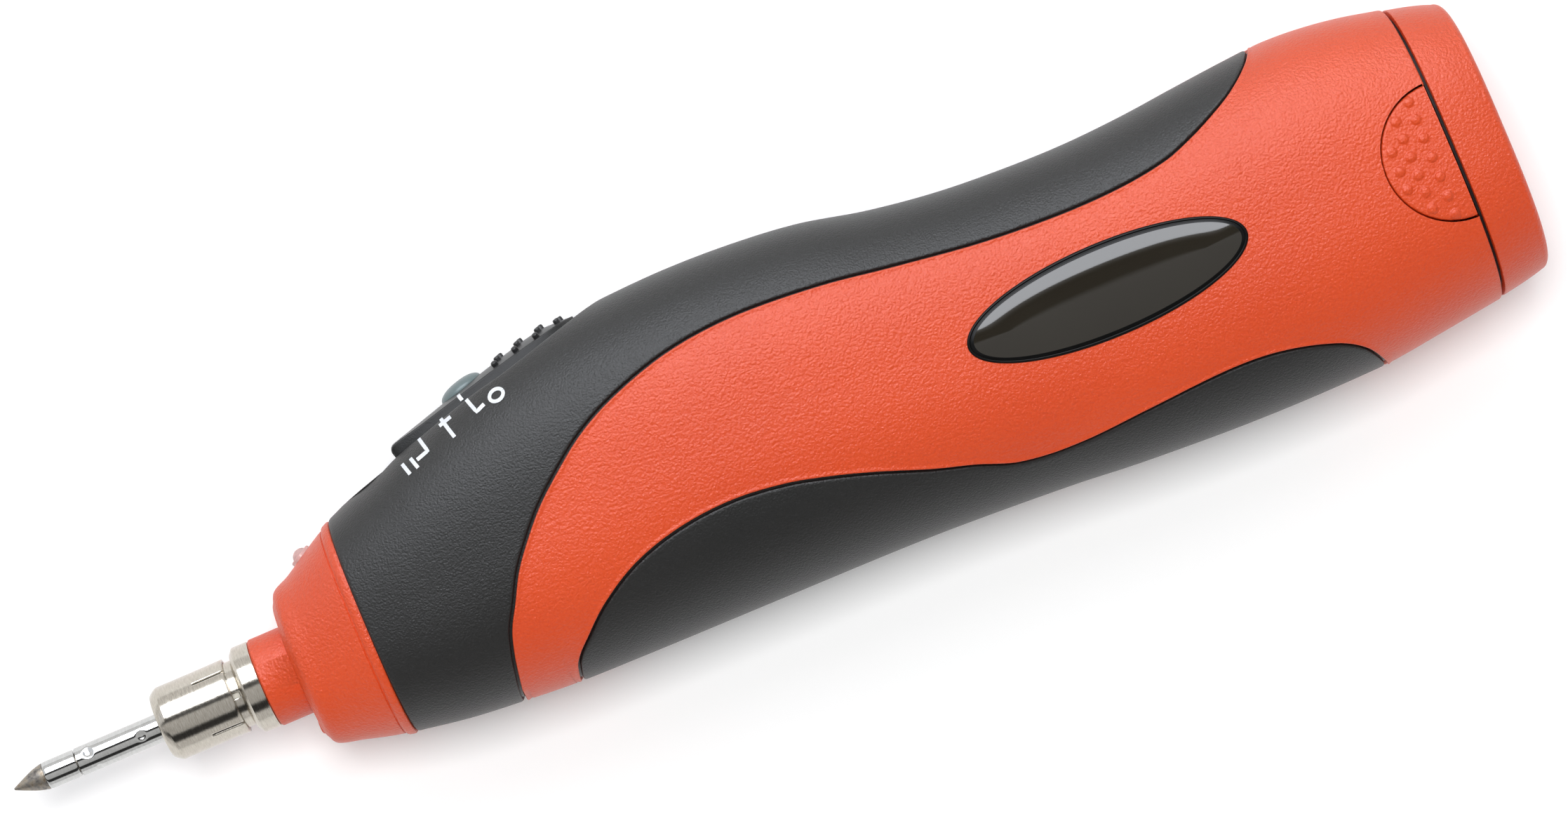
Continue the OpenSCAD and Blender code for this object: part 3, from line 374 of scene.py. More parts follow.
# Red ABS, moulded with a leather-like grain: half-matt, pebbles about half a millimetre wide
redAbs = grainedPlastic("redGrainedAbs", {
    "colour": "#DA4916", "dark": "#D24211", "light": "#E2592A", "speckle": 0.3,
    "roughness": 0.36, "ior": 1.54, "grainMm": 0.45, "bump": 0.9, "depthMm": 0.15})
# Thermoplastic elastomer, over-moulded: nearly matt, with a finer grain than the red
softGrip = grainedPlastic("softGripElastomer", {
    "colour": "#1D1C1B", "dark": "#171716", "light": "#262524", "speckle": 0.3,
    "roughness": 0.42, "ior": 1.5, "grainMm": 0.32, "bump": 0.8, "depthMm": 0.1})
# Smooth satin ABS of the switch
satinBlack = plainFinish("satinBlackAbs", {
    "colour": "#1E1E1F", "dark": "#19191A", "roughness": 0.36, "shader": {"IOR": 1.5}})
grainedBlack = grainedPlastic("grainedBlackAbs", {
    "colour": "#1C1C1C", "dark": "#161616", "light": "#262626", "speckle": 0.3,
    "roughness": 0.42, "ior": 1.36, "grainMm": 0.22, "bump": 0.5, "depthMm": 0.06})
glossBlack = plainFinish("glossBlackAbs", {
    "colour": "#0E0E0E", "dark": "#0B0B0B", "roughness": 0.3,
    "shader": {"IOR": 1.5, "Specular IOR Level": 0.15}})
# Doming resin poured over a black print: very smooth and clear
badgeResin = plainFinish("domingResin", {
    "colour": "#29251E", "dark": "#242019", "roughness": 0.06, "scale": 0.05,
    "shader": {"IOR": 1.5, "Coat Weight": 0.3, "Coat Roughness": 0.03}})
buttonGrey = plainFinish("greyBlueAbs", {
    "colour": "#6E7D7F", "dark": "#667476", "roughness": 0.36, "shader": {"IOR": 1.5}})
# Water-clear epoxy of the work light; its pink base colour is painted light, the red of the nose
# behind it shining through
clearLens = plainFinish("clearEpoxy", {
    "colour": "#F6DAD6", "dark": "#F0D0CC", "roughness": 0.08,
    "shader": {"IOR": 1.5, "Transmission Weight": 0.55}})
# Nickel plate on turned brass: warm grey, lines run round it
nickel = turnedMetal("turnedNickelPlate", {
    "colour": "#DAD4C9", "dark": "#B5AEA2", "roughness": 0.13, "bump": 0.8,
    "lines": (7.0, 0.9, 0.9)})
# Polished steel of the heater tube
polishedSteel = turnedMetal("polishedSteel", {
    "colour": "#DCDCDA", "dark": "#C4C4C2", "roughness": 0.06, "bump": 0.12,
    "lines": (3.0, 0.8, 0.8)})
# Bare brass of the contacts and the tip's rod
brass = turnedMetal("brightBrass", {
    "colour": "#D9B36A", "dark": "#C49A52", "roughness": 0.25, "bump": 0.1,
    "lines": (4.0, 1.0, 1.0)})
springSteel = turnedMetal("springSteel", {
    "colour": "#C9CACB", "dark": "#AEB0B2", "roughness": 0.3, "bump": 0.1,
    "lines": (5.0, 1.0, 1.0)})
blackScrew = plainFinish("blackOxideSteel", {
    "colour": "#2C2C2E", "dark": "#1E1E20", "roughness": 0.4, "shader": {"Metallic": 0.8}})
greenBoard = plainFinish("solderMask", {
    "colour": "#1F5A34", "dark": "#184A2A", "roughness": 0.3, "shader": {"IOR": 1.5}})
ceramic = plainFinish("unglazedCeramic", {
    "colour": "#E4E0D6", "dark": "#D8D3C7", "roughness": 0.7})
redWire = plainFinish("pvcInsulation", {
    "colour": "#A02422", "dark": "#8C1C1A", "roughness": 0.45})
sealRubber = plainFinish("sealRubber", {
    "colour": "#1A1A1A", "dark": "#141414", "roughness": 0.6})
cellFilm = plainFinish("cellSleeveFilm", {
    "colour": "#2F4F7A", "dark": "#2A4870", "roughness": 0.25, "shader": {"Coat Weight": 0.4}})
blackAbs = plainFinish("blackAbs", {
    "colour": "#232324", "dark": "#1C1C1D", "roughness": 0.5, "scale": 2.0,
    "shader": {"IOR": 1.5}, "bump": 0.2})
# Screen-printed ink: matt, very slightly blue white
whiteInk = plainFinish("printedInk", {
    "colour": "#EEF1F5", "dark": "#E2E6EC", "roughness": 0.5})


def wornTip():
    # Iron-plated copper: dull grey, with brown heat stains in patches a millimetre wide
    material, tree, shader, mm = newMaterial("ironPlatedTip", {"Metallic": 0.9, "Roughness": 0.42})
    patches = addNode(tree, "ShaderNodeTexNoise", {"Scale": 0.9, "Detail": 5.0, "Roughness": 0.65},
                      {"Vector": mm})
    toneOn(tree, shader, patches.outputs["Fac"], [
        (0.3, "#5E5A57"), (0.45, "#8C8781"), (0.55, "#A39A8C"), (0.7, "#7A6550")])
    bumpOn(tree, shader, patches.outputs["Fac"], 0.3, 0.00005)
    return material


tipMetal = wornTip()
print("materials ready")


# Grips and housing skins
def edgeLine(table, count):
    # The edge as points at even steps along its length, with the directions along, across and out
    t = np.asarray(table, float)
    bodyX, seamX = handle["bodyX"], handle["seamX"]
    share = np.linspace(t[0, 0], t[-1, 0], 8001)
    share = np.sort(np.concatenate([share, t[0, 0] + (t[-1, 0] - t[0, 0])
                                    * np.linspace(0, 1, 4001) ** 3]))
    x = bodyX + share * (seamX - bodyX)
    middle, h, _ = sectionAt(x)
    y = middle - h + 2 * h * np.clip(smoothCurve(table, share), 0, 1)
    angle = angleOf(x, y)
    points = skin(x, angle)
    length = np.concatenate([[0], np.cumsum(np.linalg.norm(np.diff(points, axis=0), axis=1))])
    even = np.linspace(0, length[-1], count)
    x, angle = np.interp(even, length, x), np.interp(even, length, angle)
    points = skin(x, angle)
    along = np.gradient(points, axis=0)
    for k, i in ((0, 1), (-1, -2)):  # the edge crosses the parting plane squarely
        along[k] = [0, 0, along[i][2]]
    along /= np.linalg.norm(along, axis=1, keepdims=True)
    out = skinNormal(x, np.clip(angle, 0.3, 179.7))
    across = np.cross(out, along)
    across /= np.linalg.norm(across, axis=1, keepdims=True)
    return {"points": points, "across": across}


def besideEdge(line, distance, height=0.0):
    # Points of the skin at a distance across the edge, lifted by height; also their x and angle
    moved = line["points"] + line["across"] * distance
    x = moved[:, 0]
    angle = angleOf(x, moved[:, 1])
    angle = np.where(moved[:, 2] < 0, np.where(angle < 90, 0, 180), angle)
    lift = skinNormal(x, np.clip(angle, 0.3, 179.7)) * height
    points = skin(x, angle)
    lift[:, 2] = np.where((angle < .01) | (angle > 179.99), 0, lift[:, 2])
    return points + lift, x, angle


def cutRound(points, inside, move):
    # Corners inside a hole are moved to its edge where they touch a corner outside
    keep = ~inside
    near = np.zeros_like(inside)
    for axis in (0, 1):
        for step in (1, -1):
            near |= np.roll(keep, step, axis)
    for dr in (1, -1):
        for dc in (1, -1):
            near |= np.roll(np.roll(keep, dr, 0), dc, 1)
    border = inside & near
    points[border] = move(points[border])
    return keep


def holeCutter(x, y, radius, inset=0.0):
    # Tests for points in a round hole seen from the side, and moves them out to its edge
    def inside(p):
        return np.hypot(p[..., 0] - x, p[..., 1] - y) < radius

    def move(p):
        d = p[:, :2] - [x, y]
        d *= radius / np.maximum(np.linalg.norm(d, axis=1, keepdims=True), 1e-6)
        q = p.copy()
        q[:, :2] = [x, y] + d
        q[:, 2] = skinZ(q[:, 0], q[:, 1], inset)
        return q
    return inside, move


switch = {
    "trackShare": .023, "sink": .14, "angle": 16.0, "wellWidth": 14.7, "wellLength": 43.4,
    "end": -0.9,
    "rest": 8.9, "length": 30.7, "width": 13.4, "height": 2.3, "gap": 0.15, "lip": 0.3,
    # height of the cut crown over the track, by place along it
    "deck": [[-8, .36], [22, .36], [28, 0], [37, -.1], [60, -.1]], "ease": 0.06, "last": 60.0,
    "fade": 3, "deckReach": 9, "wellReach": 6,
}
switch["x"] = handle["bodyX"] + switch["trackShare"] * (handle["seamX"] - handle["bodyX"])
switch["y"] = float(handle["height"] * outlineAt(switch["x"], "Top")) - switch["sink"]
trackCos = math.cos(math.radians(switch["angle"]))
trackSin = math.sin(math.radians(switch["angle"]))


def trackPoints(s, t, z):
    # Along, above and across the switch track
    s, t, z = np.broadcast_arrays(np.asarray(s, float), np.asarray(t, float), np.asarray(z, float))
    return np.stack([switch["x"] + s * trackCos - t * trackSin,
                     switch["y"] + s * trackSin + t * trackCos, z], -1)


def trackS(p):
    # Place along the track of a point: its distance from the track's start, taken along it
    return (p[..., 0] - switch["x"]) * trackCos + (p[..., 1] - switch["y"]) * trackSin


def onDeck(points):
    # The crown is cut off beside the track: t = min(t, deck), eased over a small height
    s = trackS(points)
    deck = smoothCurve(switch["deck"], np.clip(s, switch["deck"][0][0], switch["deck"][-1][0]))
    t = (points[..., 1] - switch["y"]) * trackCos - (points[..., 0] - switch["x"]) * trackSin
    soft = switch["ease"]
    over = t - deck
    cut = soft * np.logaddexp(0, over / soft) * np.clip(
        (switch["last"] - s) / switch["fade"], 0, 1)
    cut *= points[..., 1] > switch["y"] - switch["deckReach"]
    moved = points.copy()
    moved[..., 0] += cut * trackSin
    moved[..., 1] -= cut * trackCos
    return moved


def onUpperSkin(s, z):
    # The point of the upper skin that stands over place s of the track, found in a few steps,
    # each a little short of the whole way so that it settles
    shorten = 1.06
    x = switch["x"] + s * trackCos
    for _ in range(14):
        p = onDeck(np.stack([x, skinY(x, z), z], -1))
        x = x + (s - trackS(p)) / shorten
    return onDeck(np.stack([x, skinY(x, z), z], -1))


def stadium(grow, count):
    # Outline of the well at even steps: a straight side, a half round, and both again backwards
    r = switch["wellWidth"] / 2 + grow
    straight = switch["wellLength"] - switch["wellWidth"]
    half = straight + math.pi * r
    u = np.arange(count) / count * 2 * half
    side, v = np.where(u < half, 1, -1), u % half
    turn = np.maximum(v - straight, 0) / r
    s = np.where(v < straight, v, straight + r * np.sin(turn))
    s = np.where(side > 0, s, straight - s)
    return switch["end"] + switch["wellWidth"] / 2 + s, side * r * np.cos(turn)


def wellCutter(grow):
    # As holeCutter, for a well with straight sides and round ends: points nearer than r to its
    # middle line are inside, and they move straight away from that line to its edge
    r = switch["wellWidth"] / 2 + grow
    s0 = switch["end"] + switch["wellWidth"] / 2
    s1 = s0 + switch["wellLength"] - switch["wellWidth"]

    def inside(p):
        s = trackS(p)
        reach = np.hypot(s - np.clip(s, s0, s1), p[..., 2])
        return (reach < r) & (p[..., 1] > switch["y"] - switch["wellReach"])

    def move(p):
        s = trackS(p)
        c = np.clip(s, s0, s1)
        ds, dz = s - c, p[:, 2]
        scale = r / np.maximum(np.hypot(ds, dz), 1e-6)
        # points on the middle line stay on it, so that both halves still meet there
        onLine = np.abs(dz) < 1e-6
        newS = np.where(onLine, np.where(s < (s0 + s1) / 2, s0 - r, s1 + r), c + ds * scale)
        return onUpperSkin(newS, np.where(onLine, 0.0, dz * scale))
    return inside, move


gripEdge = {
    # distance from the edge and height over the skin, from the grip down into the groove
    "grip": [(0.9, 0.0), (0.6, 0.0), (0.42, -0.03), (0.3, -0.1), (0.22, -0.24), (0.2, -0.6)],
    "floor": -0.6,
    # the red side: groove wall, the thin raised lip and back to the skin
    "lip": [(0.2, -0.6), (0.19, -0.1), (0.22, 0.04), (0.3, 0.12), (0.42, 0.15), (0.56, 0.1),
            (0.74, 0.02), (0.95, 0.0)],
    "upperRows": 560, "lowerRows": 400,
}
seam = {"depth": 0.09, "width": 0.13}


def partingDip(points):
    # A fine V where the two halves meet: the skin sinks by depth exp(-(z/width)^2)
    dip = seam["depth"] * np.exp(-(points[..., 2] / seam["width"]) ** 2)
    middle = sectionAt(points[..., 0])[0]
    points[..., 1] -= dip * np.sign(points[..., 1] - middle)
    return points


def fanAngles(start, end, shares):
    # Each row's angles from its start to its end, at the same shares of the way
    return start[:, None] + (end - start)[:, None] * shares[None, :]


def crownShares(n):
    # Closer together at the parting plane, where the seam is
    return np.concatenate([[0, .0006, .0014, .0025, .0045], np.linspace(.008, 1, n)])


upperLine = edgeLine(upperEdge, gripEdge["upperRows"])
lowerLine = edgeLine(lowerEdge, gripEdge["lowerRows"])


def upperGrip():
    # Rows follow the edge; each runs from the crown over the skin and down into the groove
    strips = [besideEdge(upperLine, d, h) for d, h in gripEdge["grip"]]
    first = strips[0]
    shares = crownShares(78)
    main = skin(first[1][:, None], fanAngles(0 * first[2], first[2], shares))
    strips.append(besideEdge(upperLine, -0.2, gripEdge["floor"]))
    edgeRows = np.concatenate([main, np.stack([s[0] for s in strips[1:]], 1)], 1)
    # the collar in front: a rounded front edge, then full half rings
    turns = np.radians(np.linspace(0, 90, 6))
    frontX = np.concatenate([[handle["bodyX"]], handle["bodyX"] + .45 * (1 - np.cos(turns)),
                             np.linspace(handle["bodyX"] + .8, first[1][0] - .2, 40)])
    inset = np.concatenate([[1.3], .45 * (1 - np.sin(turns)), np.zeros(40)])
    full = np.full(len(frontX), 180.0)
    front = skin(frontX[:, None], fanAngles(0 * full, full, shares), inset[:, None])
    tail = np.repeat(front[:, -1:], len(strips) - 1, 1)
    rows = np.concatenate([np.concatenate([front, tail], 1), edgeRows])
    rows = onDeck(partingDip(rows))
    inside, move = wellCutter(switch["lip"])
    keep = cutRound(rows, inside(rows), move)
    return sheetOf(rows, keep=keep)


def lowerGrip():
    # As the upper grip, from the groove to the bottom line
    strips = [besideEdge(lowerLine, -d, h) for d, h in gripEdge["grip"]]
    first = strips[0]
    shares = 1 - crownShares(34)[::-1]
    main = skin(first[1][:, None], fanAngles(first[2], np.full(len(first[2]), 180.0), shares))
    floor = besideEdge(lowerLine, 0.2, gripEdge["floor"])[0]
    ribbon = np.stack([floor] + [s[0] for s in strips[:0:-1]], 1)
    return sheetOf(partingDip(np.concatenate([ribbon, main], 1)))


screws = {"shares": [[.135, .2], [.43, .6], [.897, .868], [.897, .126]],
          "holeRadius": 2.4, "seat": 8.0}
# bumps: shares of the window's radius, forwards from the seam and upwards from the pad's middle
pads = {
    "y": 3.792, "window": 9.7, "radius": 9.4, "flatBack": 15.55, "depth": 2.9, "seamGap": .12,
    "round": .35, "roundDrop": .3, "bumpRadius": .74, "bumpHeight": .38, "travel": .9,
    "bumps": [[.3, .84], [.3, .58], [.3, .3], [.3, .01], [.3, -.28], [.3, -.57], [.3, -.84],
              [.57, .66], [.57, .4], [.57, .13], [.57, -.14], [.57, -.4], [.57, -.65],
              [.79, .29], [.79, 0], [.79, -.27]],
}


def screwPlace(i):
    # A screw's x and y from its shares of the handle's length and of its height there
    x = handle["bodyX"] + screws["shares"][i][0] * (handle["seamX"] - handle["bodyX"])
    middle, h, _ = sectionAt(x)
    return float(x), float(middle - h + 2 * h * screws["shares"][i][1])


def redShell(side):
    # One sheet from the upper edge's groove over the side to the lower edge's groove, then
    # whole half rings to the seam; an inner skin at the wall's depth; rims where holes are cut
    upper = [besideEdge(upperLine, -d, h) for d, h in gripEdge["lip"]]
    lower = [besideEdge(lowerLine, d, h) for d, h in gripEdge["lip"]]
    seamX = handle["seamX"] - 0.2
    ux, ua = upper[-1][1:]
    lx, la = lower[-1][1:]
    ux = np.maximum.accumulate(ux)
    lx = np.maximum.accumulate(lx)
    x = np.unique(np.concatenate([ux, lx[::2], np.linspace(lx[-1] + .2, seamX, 60)]))
    x = x[np.concatenate([[True], np.diff(x) > .03])]
    rowU = np.interp(x, ux, np.arange(len(ux)))
    rowL = np.interp(x, lx, np.arange(len(lx)))

    def at(strip, row):
        i = np.clip(row.astype(int), 0, len(strip) - 2)
        return strip[i] + (strip[i + 1] - strip[i]) * (row - i)[:, None]
    angleU = np.where(x > ux[-1], 0, np.interp(x, ux, ua))
    angleL = np.where((x < lx[0]) | (x > lx[-1]), 180, np.interp(x, lx, la))
    half = crownShares(60) / 2
    shares = np.concatenate([half, 1 - half[-2::-1]])
    main = skin(x[:, None], fanAngles(angleU, angleL, shares))
    before = np.stack([at(s[0], rowU) for s in upper[:-1]], 1)
    after = np.stack([at(s[0], rowL) for s in lower[:-1]], 1)
    before[x > ux[-1] + .001] = main[x > ux[-1] + .001, :1]
    gone = (x < lx[0] - .001) | (x > lx[-1] + .001)
    after[gone] = main[gone, -1:]
    rows = partingDip(np.concatenate([before, main, after[:, ::-1]], 1))
    holes = [(handle["seamX"], pads["y"], pads["window"])]
    if side < 0:
        holes += [(*screwPlace(i), screws["holeRadius"]) for i in range(4)]
    keep = np.ones(rows.shape[:2], bool)
    for hole in holes:
        inside, move = holeCutter(*hole)
        keep &= cutRound(rows, inside(rows), move)
    parts = [sheetOf(rows, keep=keep)]
    split = handle["innerSplit"]
    innerX = np.concatenate([np.linspace(handle["bodyX"], split, 60),
                             np.linspace(split + handle["splitGap"], handle["seamX"], 34)])
    innerA = np.linspace(0, 180, 90)
    inner = skin(innerX[:, None], innerA[None, :], handle["wall"])
    inside, move = holeCutter(*holes[0], inset=handle["wall"])
    parts.append(sheetOf(inner, keep=cutRound(inner, inside(inner), move)))
    # rear rim, with the pad's window left open
    rimX = handle["seamX"] - np.array([.2, .06, 0, 0])
    rimD = np.array([0, .05, .2, handle["wall"]])
    rim = skin(rimX[:, None], np.linspace(0, 180, 220)[None, :], rimD[:, None])
    inWindow = np.abs(rim[..., 1] - pads["y"]) < pads["window"]
    parts.append(sheetOf(rim, keep=~inWindow))
    turn = np.radians(np.linspace(90, 270, 90))
    parts.append(holeWall(*holes[0], turn, handle["wall"]))
    for x0, y0, r in holes[1:]:
        turn = np.radians(np.linspace(0, 360, 49))
        parts.append(holeWall(x0, y0, r, turn, None))
    whole = joined(parts)
    return whole if side > 0 else mirrored(whole)


def holeWall(x0, y0, radius, turn, depth):
    # Wall of a hole: from the skin, rounded over its edge, down to the inner skin or the screw seat
    rows = []
    for grow, drop in ((.18, 0), (.06, .05), (0, .18)):
        x = x0 + (radius + grow) * np.cos(turn)
        y = y0 + (radius + grow) * np.sin(turn)
        x = np.minimum(x, handle["seamX"]) if depth else x
        rows.append(np.stack([x, y, skinZ(x, y) - drop], -1))
    x, y = x0 + radius * np.cos(turn), y0 + radius * np.sin(turn)
    if depth:
        rows.append(np.stack([x, y, skinZ(x, y, depth)], -1))
    else:
        rows.append(np.stack([x, y, 0 * x + screws["seat"]], -1))
        rows.append(np.stack([x0 + 0 * x, y0 + 0 * x, 0 * x + screws["seat"]], -1))
    return sheetOf(np.stack(rows))


for name, node, grip in (("gripTop", "grip_top", upperGrip()),
                         ("gripBottom", "grip_bottom", lowerGrip())):
    makePiece(name + "Near", grip, "housing", softGrip, [node + "_near"])
    makePiece(name + "Far", mirrored(grip), "housing", softGrip, [node + "_far"])
for name, side in (("Near", 1), ("Far", -1)):
    makePiece("housingShell" + name, redShell(side), "housing", redAbs,
              ["housing_" + name.lower()])
print("housing and grips ready")

# Nose cap and work light
nose = {
    "spigotX": 37.3, "spigotRadius": 6.35, "spigotRound": .35, "bore": 4.8, "corner": 1.3,
    "faces": 144,
    # along the cap: share of its length and height over the skin, with the groove and the lip
    "rear": [(.845, 0), (.862, -.02), (.87, -.14), (.884, -.14), (.889, .16), (.905, .26),
             (.95, .28), (.975, .24), (.99, .1), (1.0, -.3), (1.0, -1.4)],
    "bump": {"y": -8.45, "height": 2.4, "width": 3.0, "proud": 0.5},
}


def fullRing(x, inset, count):
    # The skin's whole section at x, near side and far side
    a = np.arange(count) * 360 / count
    folded = np.where(a > 180, 360 - a, a)
    p = skin(np.asarray(x, float)[:, None], folded[None, :], np.asarray(inset, float)[:, None])
    p[..., 2] *= np.where(a > 180, -1, 1)
    return p


def noseCap():
    # Front face from the spigot to the outline, a rounded corner, the slope, groove and lip
    noseX, bodyX = handle["noseX"], handle["bodyX"]
    length = bodyX - noseX
    n = nose["faces"]
    turns = np.radians(np.linspace(0, 90, 9))
    r = nose["corner"]
    x = noseX + r * (1 - np.cos(turns))
    inset = r * (1 - np.sin(turns))
    a = np.arange(n) * 2 * math.pi / n
    corner = fullRing(np.maximum(x, noseX + .35), inset, n)
    corner[..., 0] = x[:, None]
    first = corner[0]
    root = np.stack([0 * a + noseX, nose["spigotRadius"] * np.cos(a),
                     nose["spigotRadius"] * np.sin(a)], -1)
    face = root[None] + (first - root)[None] * np.linspace(0, 1, 6)[:-1, None, None]
    face[0, :, 0] -= 0.25  # a small fillet where the spigot stands on the face
    slopeX = np.linspace(noseX + r + .25, noseX + .83 * length, 60)
    slope = fullRing(slopeX, 0 * slopeX, n)
    rear = np.asarray(nose["rear"])
    band = fullRing(noseX + rear[:, 0] * length, -rear[:, 1], n)
    skinRows = np.concatenate([face, corner, slope, band])
    parts = [sheetOf(skinRows, roundCols=True)]
    s, out, soft = nose["spigotX"], nose["spigotRadius"], nose["spigotRound"]
    parts.append(turned([[s + .3, nose["bore"]], [s, nose["bore"] + .1], [s, out - soft]]
                        + arc(s + soft, out - soft, soft, 180, 90)
                        + [[noseX - .25, out], [noseX, out + .2]], n))
    b = nose["bump"]
    u, v = np.meshgrid(np.linspace(-1, 1, 13), np.linspace(-1, 1, 13), indexing="ij")
    swell = np.clip(1 - np.abs(u) ** 4, 0, 1) ** .5 * np.clip(1 - np.abs(v) ** 4, 0, 1) ** .5
    parts.append(sheetOf(np.stack([noseX + .05 - b["proud"] * swell, b["y"] + b["height"] / 2 * u,
                                   b["width"] / 2 * v], -1)))
    return joined(parts)


makePiece("noseCap", noseCap(), "housing", redAbs, ["nose_cap"], sharp=50)

light = {"share": .54, "tilt": 30.0, "radius": 1.3, "flange": 1.7, "proud": 1.2,
         "flangeHeight": .45}


def onNose(points):
    # A turned piece whose axis stands square on the nose's slope
    x0 = handle["noseX"] + light["share"] * (handle["bodyX"] - handle["noseX"])
    y0 = float(handle["height"] * outlineAt(x0, "Top"))
    c, s = math.cos(math.radians(light["tilt"])), math.sin(math.radians(light["tilt"]))
    h, a, b = points[:, 0], points[:, 1], points[:, 2]
    return np.stack([x0 - h * s + a * c, y0 + h * c + a * s, b], -1)


r = light["radius"]
domeProfile = ([[-2.0, 0], [-2.0, r], [-.1, r], [light["proud"] - r, r]]
               + arc(light["proud"] - r, 0, r, 90, 0, 12))
points, faces = turned(domeProfile, 40)
makePiece("workLightDome", (onNose(points), faces), "housing", clearLens, ["led"])
top, out = light["flangeHeight"], light["flange"]
points, faces = turned([[-.6, r + .02], [top - .1, r + .02], [top, r + .1], [top, out - .12],
                        [top - .12, out], [-.6, out]], 40)
makePiece("workLightFlange", (onNose(points), faces), "housing", clearLens)
print("nose ready")

# Socket ring and tip
socket = {"ringX": 34.3, "neckRadius": 4.75, "ringRadius": 6.25, "ringBore": 4.6,
          "neckWall": .8, "reach": 6.3,
          "notch": 1.2, "segments": 144}


def neckSleeve():
    # Turned neck with four notches cut into its front, behind which the ring stands
    n = socket["segments"]
    a = np.arange(n) * 360 / n
    front = socket["ringX"] - socket["reach"]
    xs = np.array([front, front + .15, 30.0, 32.5, socket["ringX"] - .35, socket["ringX"] + .1])
    r = socket["neckRadius"] - np.array([.15, 0, 0, 0, 0, 0])
    t = np.radians(a)
    outer = np.stack([xs[:, None] + 0 * t, r[:, None] * np.cos(t), r[:, None] * np.sin(t)], -1)
    halfNotch = math.degrees(socket["notch"] / 2 / socket["neckRadius"])
    off = np.abs((a - 90 + 45) % 90 - 45)
    inNotch = (off < halfNotch)[None, :] & (xs < socket["ringX"] - .3)[:, None]
    return sheetOf(outer, roundCols=True, keep=~inNotch)


sleeve = makePiece("socketNeck", neckSleeve(), "housing", nickel)
wall = sleeve.modifiers.new("wall", "SOLIDIFY")
wall.thickness, wall.offset = socket["neckWall"] / 1000, -1
x, out, bore = socket["ringX"], socket["ringRadius"], socket["ringBore"]
makePiece("socketRing", turned([
    [x, bore], [x, out - .75], [x + .12, out - .6], [x + .5, out - .12], [x + .62, out - .02],
    [x + .8, out], [x + 2.78, out], [x + 2.9, out - .05], [x + 3.0, out - .2],
    [x + 3.0, bore]], socket["segments"]),
    "housing", nickel, ["socket_ring"], sharp=25)

barrel = {"x": 22.0, "length": 11.0, "radius": 5.3, "wall": .45, "slot": 4.7, "slotWidth": .58,
          "segments": 192, "hole": 2.05, "flare": .05}


def tipBarrel():
    # Turned cup: rounded front shoulder, then a straight wall whose rear is slit in four
    # and flares as the square of the way along the slit
    b = barrel
    out, x = b["radius"], b["x"]
    profile = ([[x + .25, b["hole"]], [x, b["hole"] + .1], [x, out - 1.2]]
               + arc(x + .35, out - 1.0, .35, 200, 135, 4)
               + [[x + .3, out - .56], [x + .75, out - .24], [x + 1.1, out - .06],
                  [x + 1.16, out - .03], [x + 1.26, out]]
               + [[v, out] for v in np.linspace(x + 2.6, x + b["length"] - b["slot"] - .05, 8)]
               + [[x + b["length"] - b["slot"], out]]
               + [[v, out + b["flare"] * ((v - x - 6.3) / b["slot"]) ** 2]
                  for v in np.linspace(x + b["length"] - b["slot"] + .4, x + b["length"], 8)])
    profile = np.asarray(profile)
    n = b["segments"]
    half = math.degrees(b["slotWidth"] / 2 / out)
    a = np.arange(n) * 360 / n
    off = a % 90 - 45
    snapped = np.where(np.abs(off) < 360 / n * .9, a - off + np.sign(off) * half, a)
    inSlot = np.abs(off) < 1e-6
    t = np.radians(snapped)
    points = np.stack([profile[:, :1] + 0 * t, profile[:, 1:] * np.cos(t),
                       profile[:, 1:] * np.sin(t)], -1)
    rear = profile[:, 0] >= x + b["length"] - b["slot"] - 1e-6
    faces = gridFaces(len(profile), n, roundCols=True)
    rowOf, colOf = faces[:, 0] // n, faces[:, 0] % n
    nextCol = (colOf + 1) % n
    cut = rear[rowOf] & (inSlot[colOf] | inSlot[nextCol])
    return points.reshape(-1, 3), faces[~cut]


# A black band laid over the neck under the slits: painted shade, so that the slits read dark
makePiece("slitShadeBand", turned([[28.15, 4.3], [28.15, 4.79], [32.6, 4.79], [32.6, 4.3]], 96),
          "housing", sealRubber, sharp=40)
cup = makePiece("tipBarrel", tipBarrel(), "tip", nickel, ["tip_barrel"], sharp=32)
wall = cup.modifiers.new("wall", "SOLIDIFY")
wall.thickness, wall.offset = barrel["wall"] / 1000, -1

bit = {"radius": 1.95, "tubeX": 9.6, "tubeEnd": 24.0, "tubeRadius": 2.0,
       # crimps of the tube: place, height on the near side, size and depth
       "crimps": [(11.4, .75, .62, .3), (19.1, 0.0, .6, .26), (12.25, -1.75, .3, .16)]}


def heaterTube():
    # A round tube with small dents: its radius less depth exp(-(distance/size)^3.2)
    x = np.concatenate([[bit["tubeX"], bit["tubeX"], bit["tubeX"] + .06],
                        np.linspace(bit["tubeX"] + .2, bit["tubeEnd"], 110)])
    a = np.radians(np.arange(96) * 360 / 96)
    base = np.full(len(x), bit["tubeRadius"])
    base[:2] = [1.3, 1.9]
    r = base[:, None] + 0 * a
    y, z = r * np.cos(a), r * np.sin(a)
    for cx, cy, size, depth in bit["crimps"]:
        d2 = (x[:, None] - cx) ** 2 + (y - cy) ** 2
        r = r - np.where(z > 0, depth * np.exp(-(d2 / size ** 2) ** 1.6), 0)
    return sheetOf(np.stack([x[:, None] + 0 * a, r * np.cos(a), r * np.sin(a)], -1), roundCols=True)


